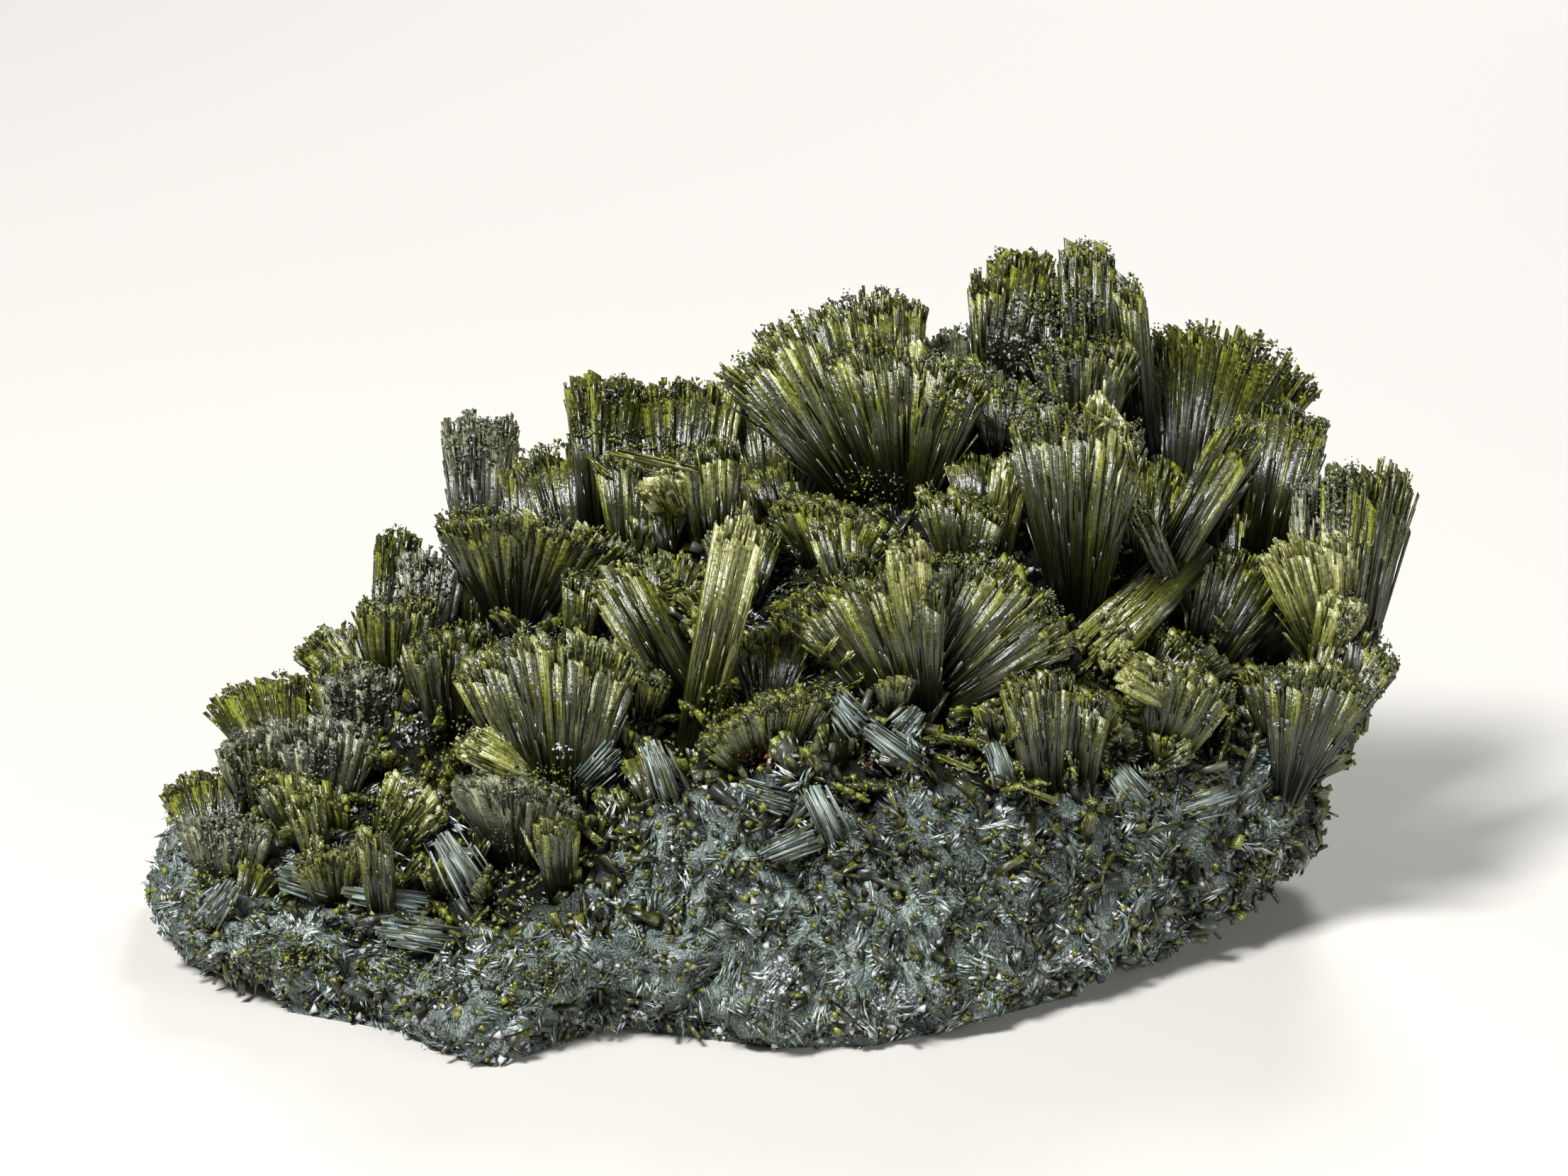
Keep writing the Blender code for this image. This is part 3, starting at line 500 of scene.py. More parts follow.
# %% The crystals
CRYSTALS = (
    ("peak_left_blade", (14.2, 13.8), (15.2, 22.0), 2, 7, 2.0, 1.8),
    ("peak_column", (19.2, 12.6), (19.1, 22.5), 0, 4, 1.9, 1.8),
    ("peak_right_ridge", (22.4, 10.6), (21.0, 20.4), 0, 4, 1.8, 1.6),
    ("peak_spur", (12.8, 13.4), (12.8, 20.4), 0, 4, 1.1, 1.0),
    ("dome_edge_blade", (12.6, 9.8), (11.2, 14.6), -1, 7, 1.0, 1.0),
    ("tall_fan", (18.6, -0.8), (18.5, 12.0), -2, 12, 2.4, 2.4),
    ("tall_fan_side_lobe", (17.4, 2.6), (15.6, 10.0), -1, 9, 1.2, 1.4),
    ("tall_fan_prism", (19.4, -0.4), (20.6, 12.8), -4, 2, 1.5, 1.5),
    ("upper_fan", (18.7, 8.6), (19.2, 16.4), -3, 13, 2.0, 2.0),
    ("yellow_stick", (13.4, 2.4), (14.8, 9.2), -1, 2, 1.5, 1.4),
    ("hollow_fan", (11.2, 1.6), (11.2, 6.4), -1, 19, 1.6, 1.4),
    ("leaning_prism", (24.8, 1.2, 4.0), (18.7, -4.9), -7, 2, 2.5, 2.4),
    ("long_blade", (22.4, -1.6), (29.8, 11.4), 1, 2, 1.9, 1.7),
    ("crossing_stick", (24.5, 0.4, 2.6), (22.0, 5.5), -1, 2, 1.0, 1.0),
    ("roof_fan", (25.4, 4.4), (28.6, 16.8), 4, 22, 2.6, 2.0),
    ("roof_gable", (30.4, 2.6), (32.2, 12.2), 2, 6, 3.0, 1.8),
    ("right_slab", (33.8, -8.6, 6.0), (34.2, 8.2), 0, 3, 2.4, 1.8),
    ("right_pale_fan", (34.6, -4.9, 5.0), (32.6, 4.0), -3, 11, 1.5, 1.4),
    ("white_prism", (34.0, -5.2, 4.4), (35.6, 0.0), -3, 6, 1.3, 1.4),
    ("rightmost_fan", (34.8, -9.2, 5.0), (37.2, 9.0), 1, 6, 2.0, 1.8),
    ("lower_right_fan", (33.8, -9.6, 3.0), (37.2, -2.2), -1, 12, 1.5, 1.4),
    ("hanging_prism", (36.4, -4.6, 2.2), (35.6, -9.8), -1, 2, 1.6, 1.5),
    ("big_dark_right_fan", (32.2, -11.4), (34.2, -4.4), -2, 16, 1.7, 1.8),
    ("right_bundle", (31.4, -9.6), (30.6, -4.4), -1, 9, 1.6, 1.4),
    ("hollow_right_fan", (26.6, -4.2), (29.8, 2.6), 0, 16, 1.8, 1.6),
    ("thin_diagonal_blade", (28.2, -4.6), (25.6, 0.2), -1, 2, 0.9, 0.9),
    ("diagonal_fan", (9.6, -7.0), (16.6, 0.4), -3, 16, 1.5, 1.8),
    ("short_prism", (25.2, -7.3, -1.6), (21.1, -4.7), -4, 2, 2.1, 2.0),
    ("dark_blade_fan", (24.6, -8.4), (20.8, -7.3), -2, 15, 1.2, 1.2),
    ("front_right_fan", (24.0, -10.6), (26.2, -4.7), -2, 15, 1.5, 1.6),
    ("low_blade", (23.8, -9.4), (20.4, -10.6), -2, 4, 1.1, 1.1),
    ("crusted_right_fan", (23.2, -5.4), (24.5, -2.3), -1, 28, 1.4, 1.6),
    ("bundle_fan", (16.4, -12.2), (16.0, -4.6), -1, 9, 1.9, 1.7),
    ("bundle_fan_twin", (18.6, -11.8), (18.9, -5.6), -1, 7, 1.8, 1.6),
    ("small_centre_fan", (15.4, -9.6), (12.2, -7.4), -1, 15, 1.0, 1.1),
    ("white_stick", (8.7, -5.0, -4.6), (7.6, 3.4), -4, 2, 1.7, 1.6),
    ("big_dark_fan", (8.0, -7.4), (4.2, 1.4), -1, 23, 2.0, 1.9),
    ("small_green_fan", (1.4, -3.8), (1.4, -0.6), -1, 20, 1.0, 1.1),
    ("little_prism", (2.0, -5.4), (3.6, -3.0), -1, 3, 1.0, 1.0),
    ("low_stick", (2.4, -6.4), (5.3, -5.0), -2, 3, 1.0, 1.0),
    ("saddle_crust", (-1.0, -10.2), (-1.0, -6.6), -2, 36, 2.6, 1.8),
    ("canopy_fan", (3.2, 1.8), (3.2, 5.8), -2, 34, 2.2, 1.6),
    ("little_centre_fan", (10.2, -0.8), (10.2, 2.4), -1, 18, 1.2, 1.2),
    ("great_fan", (5.6, 6.2), (1.6, 18.4), -1, 23, 3.0, 2.2),
    ("second_fan", (7.8, 6.0), (7.6, 16.0), -2, 23, 2.2, 2.0),
    ("back_ridge_fan", (8.0, 7.6), (5.0, 18.2), 3, 8, 2.4, 2.0),
    ("back_ridge_wall", (11.8, 10.0), (11.4, 17.0), 4, 12, 2.6, 2.0),
    ("white_back_stick", (-4.2, 5.6), (-3.5, 14.0), 2, 2, 1.3, 1.3),
    ("back_left_fan", (-11.4, 5.4), (-11.2, 14.0), 3, 9, 2.4, 2.0),
    ("back_left_ridge", (-6.6, 5.6), (-6.8, 13.6), 3, 12, 2.4, 2.0),
    ("leaning_stick", (-5.6, -9.4), (-2.3, 5.4), -1, 2, 1.9, 1.8),
    ("arch_fan_left", (-13.4, 2.2), (-14.4, 9.6), 2, 12, 2.2, 1.9),
    ("arch_fan_right", (-8.8, 1.8), (-8.4, 8.8), 0, 16, 2.4, 2.0),
    ("peak_blade", (-4.5, 2.4), (-4.9, 9.6), -1, 8, 1.8, 1.6),
    ("bright_prism", (-6.0, 3.2), (-8.3, 7.2), -6, 4, 1.4, 1.4),
    ("dark_left_fan", (-16.4, -2.2), (-14.8, 4.8), -6, 30, 1.8, 1.8),
    ("horizontal_fan", (-11.4, -1.0), (-5.8, -0.8), -4, 11, 1.1, 1.2),
    ("upright_blade", (-13.0, -3.8), (-12.8, 1.4), -1, 4, 1.3, 1.3),
    ("dark_long_blade", (-6.2, -7.4), (-11.4, 1.8), 0, 3, 2.3, 1.9),
    ("big_left_fan", (-14.0, -13.2), (-14.8, -2.2), -1, 21, 2.2, 2.2),
    ("big_left_fan_lobe", (-17.2, -9.8), (-18.8, -4.0), -1, 13, 1.4, 1.4),
    ("white_left_stick", (-14.0, -12.8), (-20.8, -9.1), -3, 2, 1.7, 1.7),
    ("grey_topped_chunk", (-16.6, -16.6), (-17.0, -11.6), -3, 23, 2.2, 2.0),
    ("dark_column", (-14.2, -18.6), (-14.5, -14.2), -2, 5, 1.4, 1.4),
    ("back_left_lump", (-19.2, 2.6), (-19.2, 11.5), 3, 7, 2.6, 2.2),
    ("left_stick", (-19.6, -2.6), (-19.8, 2.8), -1, 3, 1.2, 1.2),
    ("left_back_blade", (-25.0, -2.6), (-24.2, 4.2), 3, 5, 1.6, 1.4),
    ("left_crust_slab", (-22.4, -3.6), (-22.2, 2.6), 0, 10, 1.8, 1.7),
    ("left_slab", (-24.6, -7.0), (-24.4, 0.0), -3, 10, 1.6, 1.6),
    ("left_front_slab", (-21.0, -8.8), (-21.1, -2.0), -2, 10, 2.0, 1.8),
    ("side_fan", (-26.8, -6.4), (-30.3, -2.8), 1, 9, 1.2, 1.2),
    ("grey_dome", (-26.8, -10.2), (-26.6, -4.9), -1, 13, 2.2, 2.0),
    ("left_chunk", (-29.0, -14.0), (-28.9, -7.8), -1, 15, 2.2, 2.0),
    ("left_back_lump", (-31.8, -11.4), (-32.0, -5.5), 2, 15, 2.2, 2.0),
    ("left_lump", (-33.0, -13.6), (-33.3, -8.4), -1, 15, 1.8, 1.8),
    ("outer_chunk", (-35.0, -18.0), (-35.3, -14.0), -1, 17, 2.6, 2.0),
    ("left_end_fan", (-36.0, -15.8), (-36.9, -11.2), 2, 18, 1.8, 1.6),
    ("orange_blade", (-29.3, -17.8), (-30.5, -12.4), -1, 4, 1.1, 1.1),
    ("left_low_stick", (-25.2, -21.4), (-26.0, -14.6), -1, 3, 1.2, 1.1),
    ("crusted_triangle", (-28.0, -19.8), (-28.0, -16.0), -2, 20, 1.4, 1.3),
    ("striped_fan", (-24.8, -16.0), (-22.5, -12.2), -2, 15, 1.2, 1.2),
)
TURNED = {"peak_right_ridge": -20, "dome_edge_blade": 20}
BACK_CRYSTALS = (
    ("back_fan_1", -33, 10, 120, 35, 7, 18), ("back_fan_2", -27, 13, 110, 40, 8, 16),
    ("back_fan_3", -21, 15, 100, 35, 9, 18), ("back_fan_4", -14, 16, 95, 45, 9, 16),
    ("back_fan_5", -8, 17, 90, 35, 10, 18), ("back_fan_6", -1, 17, 90, 45, 9, 17),
    ("back_fan_7", 5, 17, 85, 30, 11, 19), ("back_fan_8", 12, 17, 80, 40, 10, 17),
    ("back_fan_9", 18, 16, 70, 35, 10, 18), ("back_fan_10", 25, 14, 55, 40, 9, 17),
    ("back_fan_11", -28, 9, 120, 20, 6, 15), ("back_fan_12", -16, 14, 100, 25, 6, 15),
    ("back_fan_13", 0, 12, 80, 15, 8, 18), ("back_fan_14", 25, 13, 60, 25, 7, 16),
    ("low_back_fan_1", -23, 18, 105, 60, 5, 15), ("low_back_fan_2", -9, 20.5, 95, 65, 5, 15),
    ("low_back_fan_3", 3, 20.5, 85, 65, 5, 15), ("low_back_fan_4", 15, 19, 70, 60, 6, 15),
    ("left_top_fan", -31, 0, 200, 15, 4.5, 17), ("left_plateau_fan", -23, 10.5, 110, 15, 6, 14),
    ("hollow_fan_left", -9, -3, 260, 20, 4.5, 17), ("hollow_fan_centre", -1, -4, 80, 15, 5, 18),
    ("hollow_fan_middle", 4, 3, 100, 10, 5, 17), ("hollow_fan_right", 19.4, -3.4, 300, 20, 3.2, 17),
    ("right_top_fan", 28, 6, 20, 30, 6, 17), ("right_end_fan", 31, 10, 40, 50, 5, 17),
)
PALE_CRYSTALS = {
    "white_stick", "white_prism", "bright_prism", "white_left_stick", "white_back_stick",
    "tall_fan_prism", "leaning_prism", "leaning_stick", "right_pale_fan", "short_prism",
    "yellow_stick", "striped_fan",
}
CRUSTED_CRYSTALS = {
    "right_slab", "grey_dome", "left_chunk", "outer_chunk", "left_crust_slab", "back_left_lump",
    "grey_topped_chunk", "left_lump", "back_ridge_wall",
}
print("crystals in front", len(CRYSTALS), "and behind", len(BACK_CRYSTALS))

# %% [markdown]
# A fan spreads from a point behind its foot, like the ribs of a hand fan. Its frame is that
# point, its axis, its side and the direction it faces. A place on the fan is then an angle and a
# distance, which is how the laths below are laid out.

# %% The frame of a fan
ROOT = 2.2
TURN_VARIETY = 24.0
BACK_TURN_VARIETY = 35.0
BACK_FOOT = 0.25
BACK_THICKNESS = 1.9


class Fan:
    """Where a fan starts, how it spreads and which way it faces, in millimetres."""

    def __init__(self, name, foot, tip, half_spread, foot_width, thickness, turn):
        self.name = name
        axis = tip - foot
        self.length = axis.length + ROOT
        axis.normalize()
        facing = eye() - foot
        facing = (facing - axis * facing.dot(axis)).normalized()
        facing = Matrix.Rotation(math.radians(turn), 3, axis) @ facing
        self.axis = np.array(axis)
        self.facing = np.array(facing)
        self.side = np.array(axis.cross(facing))
        self.start = np.array(foot - axis * ROOT)
        self.half = math.radians(half_spread)
        self.apex = foot_width / (2 * math.tan(self.half))
        self.thickness = thickness

    def place(self, angle, radius, deep):
        """Points at these angles from the axis, these distances from the fan's apex and depths."""
        ahead = radius * np.cos(angle) - self.apex
        sideways = radius * np.sin(angle)
        return (
            self.start + ahead[:, None] * self.axis + sideways[:, None] * self.side
            + deep[:, None] * self.facing
        )

    @property
    def rim(self):
        """How long the fan's rim is."""
        return 2 * self.half * (self.apex + self.length)

    def across(self, angle):
        """The direction across a lath at these angles."""
        return np.cos(angle)[:, None] * self.side - np.sin(angle)[:, None] * self.axis


def all_fans():
    """Every crystal of the specimen as a Fan, by name."""
    fans = {}
    for i, (name, foot, tip, lean, half_spread, width, thickness) in enumerate(CRYSTALS):
        start = seen(*foot) if len(foot) == 3 else on_rock(*foot)
        end = seen(*tip, start.y + lean)
        turn = TURNED.get(name, 0) + TURN_VARIETY * math.sin(2.4 * i)
        fans[name] = Fan(name, start, end, half_spread, width, thickness, turn)
    for i, (name, x, y, compass, tilt, length, half_spread) in enumerate(BACK_CRYSTALS):
        start = Vector((x, y, rock_height(x, y)))
        lean = Vector((math.cos(math.radians(compass)), math.sin(math.radians(compass)), 0))
        slope = math.radians(tilt)
        end = start + (lean * math.sin(slope) + Vector((0, 0, math.cos(slope)))) * length
        turn = BACK_TURN_VARIETY * math.sin(2.4 * i)
        fans[name] = Fan(name, start, end, half_spread, BACK_FOOT * length, BACK_THICKNESS, turn)
    return fans


fans = all_fans()
print("fans", len(fans))

# %% [markdown]
# The body of a fan is made of wedge-shaped laths, side by side in three layers that thin towards
# the rim. Neighbours end together in bunches about a millimetre wide, which gives the rim the
# rounded lobes of the real crystals, and small differences between them give the grooves.

# %% Laths of a fan's body
# Lengths are in millimetres. A layer is its depth, its reach and its thickness, as shares of the
# fan's thickness, length and thickness.
LATH_WIDTH = 0.5
LATH_OVERLAP = 1.5
LOBE_WIDTH = 1.2
LOBE_DEPTH = 0.45
LAYERS = ((0.0, 1.0, 0.5), (-0.25, 0.93, 0.5), (0.25, 0.93, 0.5))
BUNCH_VARIETY = 0.09
LATH_VARIETY = 0.04
EDGE_DROP = 0.06
RIM_THINNING = 0.62


def shortfall(angle, fan, rng):
    """How far laths at these angles stop short of the rim, as shares of the fan's length."""
    bunches = max(2, round(fan.rim / LOBE_WIDTH))
    place = np.clip((angle + fan.half) / (2 * fan.half), 0, 0.999) * bunches
    own = rng.random(bunches)[place.astype(int)]
    lobe = (2 * (place % 1) - 1) ** 2
    edge = np.abs(angle) / fan.half
    rounding = LOBE_DEPTH / max(fan.length, 3)
    uneven = BUNCH_VARIETY * own + rounding * lobe + LATH_VARIETY * rng.random(len(angle))
    return uneven + EDGE_DROP * edge**3


def body_laths(fan, rng):
    """Wedges from the foot to the rim, in layers of their own depth, reach and thickness."""
    count = max(5, round(fan.rim / LATH_WIDTH))
    parts = []
    for offset, layer_reach, layer_thickness in LAYERS:
        angle = np.linspace(-fan.half, fan.half, count + 1)
        angle = (angle[1:] + angle[:-1]) / 2 + rng.normal(0, 0.3 * fan.half / count, count)
        edge = np.abs(angle) / fan.half
        near = np.full(count, fan.apex)
        far = fan.apex + fan.length * (layer_reach - shortfall(angle, fan, rng))
        deep = np.full(count, offset * fan.thickness) + rng.normal(0, 0.03 * fan.thickness, count)
        pitch = 2 * fan.half / count * LATH_OVERLAP
        thick = fan.thickness * layer_thickness * (0.8 + 0.2 * rng.random(count))
        thick = thick * (1 - 0.3 * edge**4)
        tilt = rng.normal(0, 0.1, count)
        side = unit(fan.across(angle) + tilt[:, None] * fan.facing)
        start, end = fan.place(angle, near, deep * 0.8), fan.place(angle, far, deep * 0.7)
        parts.append(copies(
            LATH, start, end, side, unit(np.cross(side, end - start)),
            ends(pitch * near, pitch * far), ends(thick, thick * RIM_THINNING),
            rng.random(count), np.tile([0.0, 1.0], (count, 1)),
        ))
    return parts


great_fan_laths = body_laths(fans["great_fan"], np.random.default_rng(0))
print("laths in the great fan's body", sum(len(part[1]) for part in great_fan_laths) // len(LATH[1]))

# %% [markdown]
# Thinner laths lie on both faces and splay outwards past the edges, as barbs do on a feather.
# Most start part of the way up and end at different heights. The rest are short and crowd along
# the rim, so that it is finely toothed.

# %% Laths on a fan's faces
FACE_LATHS_PER_MM2 = 2.0
FEWEST_FACE_LATHS = 16
TEETH_PER_MM = 7
TOOTH_LENGTHS = (0.5, 1.2)
SPLAY_DEGREES = (-2, 12)


def face_laths(fan, rng, share=1.0):
    """Short thin laths on both faces, turned a little outwards, or only a share of them."""
    area = fan.length * (fan.rim + 2 * fan.half * fan.apex) / 2
    teeth = int(TEETH_PER_MM * fan.rim * share)
    count = int((FACE_LATHS_PER_MM2 * area + FEWEST_FACE_LATHS) * share) + teeth
    angle = fan.half * (2 * rng.beta(0.75, 0.75, count) - 1)
    first = 0.15 + 0.72 * rng.random(count)
    last = first + 0.1 + 0.25 * rng.random(count)
    last[:teeth] = 1
    last = np.minimum(last, 1.0 - shortfall(angle, fan, rng))
    first[:teeth] = last[:teeth] - rng.uniform(*TOOTH_LENGTHS, teeth) / fan.length
    last = np.maximum(last, first + 0.05)
    splay = (angle / fan.half) * np.radians(rng.uniform(*SPLAY_DEGREES, count))
    splay = splay * np.minimum(1, fan.half / 0.2)
    face = np.where(rng.random(count) < 0.5, -1.0, 1.0)
    depth = face * fan.thickness / 2 * (0.98 - 0.42 * first) * (0.8 + 0.2 * rng.random(count))
    edge = np.abs(angle) / fan.half
    depth = depth * (1 - 0.3 * edge**3)
    near = fan.place(angle, fan.apex + fan.length * first, depth)
    out = angle + splay
    ray = np.cos(out)[:, None] * fan.axis + np.sin(out)[:, None] * fan.side
    rise = face[:, None] * rng.normal(-0.01, 0.05, count)[:, None] * fan.facing
    far = near + (ray + rise) * (fan.length * (last - first))[:, None]
    side = unit(fan.across(out) + rng.normal(0, 0.5, count)[:, None] * fan.facing)
    normal = unit(np.cross(side, far - near))
    width = 0.08 + 0.16 * rng.random(count)
    thick = 0.08 + 0.14 * rng.random(count)
    return copies(
        LATH, near, far, side, normal, ends(width * 0.6, width), ends(thick * 0.6, thick),
        rng.random(count), ends(first, last),
    )


great_fan_faces = face_laths(fans["great_fan"], np.random.default_rng(0))
print("laths on the great fan's faces", len(great_fan_faces[1]) // len(LATH[1]))

# %% [markdown]
# A druse of small grains covers the rims, and on the crusted crystals the upper half too. Each
# grain is turned at random, so that here and there a facet catches the light.

# %% Grains
# A crusted crystal's druse is denser and goes further down. Sizes are in millimetres.
DRUSE_PER_MM2 = 11
CRUST_PER_MM2 = 30
RIM_GRAINS_PER_MM = 22
DRUSE_DEPTH = 0.3
CRUST_DEPTH = 0.6
CLEAN_SHARE = 5


def grains_at(where, size, shade, rng):
    """A grain at each place, turned at random."""
    count = len(where)
    along = unit(rng.normal(size=(count, 3)))
    side = unit(np.cross(along, rng.normal(size=(count, 3))))
    normal = np.cross(side, along)
    half = along * (size / 2)[:, None]
    wide = size * (0.9 + 0.5 * rng.random(count))
    both = ends(wide, wide)
    return copies(GRAIN, where - half, where + half, side, normal, both, both * 0.9, shade)


def druse_of(fan, rng):
    """Grains on a fan's rim and sides, few of them where it is a clean prism."""
    crusted = fan.name in CRUSTED_CRYSTALS
    depth = CRUST_DEPTH if crusted else DRUSE_DEPTH
    area = fan.length * depth * fan.rim
    per_area = CRUST_PER_MM2 if crusted else DRUSE_PER_MM2
    count = int(area * per_area + fan.rim * RIM_GRAINS_PER_MM)
    if fan.name in PALE_CRYSTALS:
        count //= CLEAN_SHARE
    angle = fan.half * (2 * rng.random(count) - 1)
    down = depth * rng.random(count) ** (1.0 if crusted else 2.2)
    radius = fan.apex + fan.length * (0.99 - down - 0.8 * shortfall(angle, fan, rng))
    face = rng.uniform(-1, 1, count)
    face = np.sign(face) * np.abs(face) ** 0.3
    edge = 1 - 0.25 * (np.abs(angle) / fan.half) ** 4
    deep = face * fan.thickness / 2 * (0.58 + 0.42 * down) * edge
    size = 0.11 + 0.18 * rng.random(count) ** 2
    return grains_at(fan.place(angle, radius, deep), size, 0.05 + 0.7 * rng.random(count), rng)


great_fan_druse = druse_of(fans["great_fan"], np.random.default_rng(0))
print("grains on the great fan", len(great_fan_druse[1]) // len(GRAIN[1]))

# %% [markdown]
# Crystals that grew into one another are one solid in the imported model, so their laths are one
# piece as well. The list says which fans each solid holds. Every other fan is a piece by itself.

# %% The pieces of the crystals
GROWN_TOGETHER = {
    "tall_fan": ("tall_fan_prism", "hollow_fan", "tall_fan_side_lobe", "yellow_stick"),
    "leaning_prism": (
        "hollow_right_fan", "long_blade", "right_top_fan", "crusted_right_fan", "crossing_stick",
        "thin_diagonal_blade",
    ),
    "roof_fan": (
        "back_fan_10", "upper_fan", "roof_gable", "back_fan_14", "peak_column", "peak_right_ridge",
    ),
    "rightmost_fan": (
        "right_slab", "right_pale_fan", "lower_right_fan", "white_prism", "hanging_prism",
    ),
    "front_right_fan": ("short_prism", "dark_blade_fan", "low_blade"),
    "big_dark_fan": (
        "diagonal_fan", "bundle_fan", "white_stick", "bundle_fan_twin", "small_centre_fan",
        "low_stick",
    ),
    "canopy_fan": ("hollow_fan_middle",),
    "great_fan": ("second_fan", "back_ridge_fan"),
    "back_ridge_wall": ("peak_left_blade", "peak_spur", "dome_edge_blade"),
    "arch_fan_right": (
        "back_left_ridge", "back_left_fan", "arch_fan_left", "peak_blade", "bright_prism",
        "white_back_stick",
    ),
    "dark_left_fan": ("horizontal_fan",),
    "dark_long_blade": ("hollow_fan_left",),
    "big_left_fan": ("white_left_stick",),
    "back_left_lump": (
        "left_slab", "back_fan_11", "left_plateau_fan", "left_crust_slab", "left_back_blade",
        "side_fan", "left_stick",
    ),
    "left_chunk": ("left_top_fan",),
    "left_lump": ("left_end_fan",),
    "back_fan_1": ("left_back_lump",),
    "back_fan_4": ("back_fan_12",),
    "back_fan_5": ("back_fan_6",),
}
SLOTS = {part["node"]: part["material_slot"] for part in frame["record"]["subparts"]}


def seed_of(name):
    """A number of its own for each name, the same on every run."""
    return sum((i + 1) * ord(letter) for i, letter in enumerate(name))


def laths_of(name):
    """The body and face laths of one crystal."""
    rng = np.random.default_rng(seed_of(name))
    return [*body_laths(fans[name], rng), face_laths(fans[name], rng)]


def look_of(name):
    """Which of its piece's materials a crystal takes: 0 is dark, 1 is pale and 2 is dusted."""
    return 1 if name in PALE_CRYSTALS else 2 if name in CRUSTED_CRYSTALS else 0


def crystal_piece(node):
    """The laths of every crystal that the node holds."""
    members = (node, *GROWN_TOGETHER.get(node, ()))
    parts = [(look_of(name), part) for name in members for part in laths_of(name)]
    made = piece(node + "_laths", [part for _, part in parts], dark_epidote, SLOTS[node], [node])
    made.data.materials.append(pale_epidote)
    made.data.materials.append(dusted_epidote)
    looks = np.repeat([look for look, _ in parts], [len(part[1]) for _, part in parts])
    made.data.polygons.foreach_set("material_index", looks.astype(np.int32))
    return members


placed = set()
for node in sorted(set(SLOTS) - {"matrix_rock"}):
    placed.update(crystal_piece(node))
print("crystals placed", len(placed), "left over", sorted(set(fans) - placed))

# %% The druse, in a left and a right half


def druse_piece(name, members, finish, slot):
    """The druse of all these crystals as one piece."""
    parts = []
    for member in members:
        parts.append(druse_of(fans[member], np.random.default_rng(seed_of(member) + 1)))
    tell(piece(name, parts, finish, slot))


MIDDLE = 0.0
for label, right in (("left", False), ("right", True)):
    here = [name for name in fans if (fans[name].start[0] > MIDDLE) == right]
    green = [name for name in here if name not in CRUSTED_CRYSTALS]
    grey = [name for name in here if name in CRUSTED_CRYSTALS]
    druse_piece("druse_" + label, green, druse_finish, "epidote")
    druse_piece("crust_" + label, grey, grey_crust, "crusted_epidote")

# %% [markdown]
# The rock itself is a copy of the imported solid, welded, divided finely and roughened with noise,
# so that light catches its lumps and pits. Its flat underside stays flat.

# %% The rock
# Each kind of pit is how many there are in a millimetre, and their depth in millimetres. Sinking
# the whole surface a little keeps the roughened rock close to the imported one.
ROCK_CUTS = 3
PITS = ((0.22, 0.8), (0.6, 1.0), (1.5, 0.7), (3.2, 0.3))
PIT_SEED = 11
SUNK = 0.25
SMOOTH_BELOW = 0.15


def rock_mesh():
    """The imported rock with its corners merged, finer and rougher."""
    bm = bmesh.new()
    bm.from_mesh(frame["nodes"]["matrix_rock"].data)
    bmesh.ops.remove_doubles(bm, verts=bm.verts[:], dist=0.00001)
    bmesh.ops.subdivide_edges(bm, edges=bm.edges[:], cuts=ROCK_CUTS, use_grid_fill=True)
    bmesh.ops.triangulate(bm, faces=[face for face in bm.faces if len(face.verts) > 3])
    bm.normal_update()
    noise.seed_set(PIT_SEED)
    for vert in bm.verts:
        spot = vert.co / MM
        if spot.z > SMOOTH_BELOW:
            push = sum(noise.noise(spot * scale) * depth for scale, depth in PITS)
            vert.co += vert.normal * (push - SUNK) * MM
            vert.co.z = max(vert.co.z, 0.0)
    bm.normal_update()
    return bm


rock_bm = rock_mesh()
rock = bpy.data.objects.new("rock", bpy.data.meshes.new("rock"))
rock_bm.to_mesh(rock.data)
bpy.context.scene.collection.objects.link(rock)
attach(rock, "root")
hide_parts("matrix_rock")
print("rock", len(rock.data.polygons), "faces")

# %% [markdown]
# The rock is a felt of fine actinolite needles that lie every way. Between the crystals it is
# crusted with dark epidote, and its colour there is painted darker still, near black, as painted
# shade for the hollows between the crystals. The two meet along a line across the front of the rock.
# A Voronoi pattern cuts the surface into patches of about a millimetre. Each patch turns the pattern
# by an angle of its own, and noise drawn out along one axis then reads as a sheaf of needles.

# %% Where the crystals start
# All in millimetres: the line, how far out and how low crystals stand, and the width over which
# the bare rock turns to crusted rock with painted shade.
CRYSTAL_LINE_X = (-40, -34, -30, -24, -17, -10, -4, 5, 12, 19, 26, 31, 36)
CRYSTAL_LINE_Y = (-8, -9, -9.6, -12.5, -16, -13.2, -12.4, -12.6, -10.4, -8.4, -4, 0, 4)
ZONE_END = 37.5
ZONE_FOOT = 4.2
ZONE_BLUR = 1.6


def behind_line(where):
    """How far behind the line across the front each place is, in mm."""
    return where[:, 1] - np.interp(where[:, 0], CRYSTAL_LINE_X, CRYSTAL_LINE_Y)


def crystal_zone(where):
    """1 where the rock carries crystals, 0 on its bare front, ends and foot. Places in mm."""
    above = where[:, 2] - ZONE_FOOT
    inside = ZONE_END - np.abs(where[:, 0])
    return np.clip(np.minimum(np.minimum(behind_line(where), above), inside) / ZONE_BLUR, 0, 1)


corners = np.array([vert.co[:] for vert in rock.data.vertices]) / MM
rock_zone = crystal_zone(corners)
rock.data.attributes.new("zone", "FLOAT", "POINT").data.foreach_set("value", rock_zone)
print("share of the rock's corners that carry crystals", round(float(rock_zone.mean()), 2))
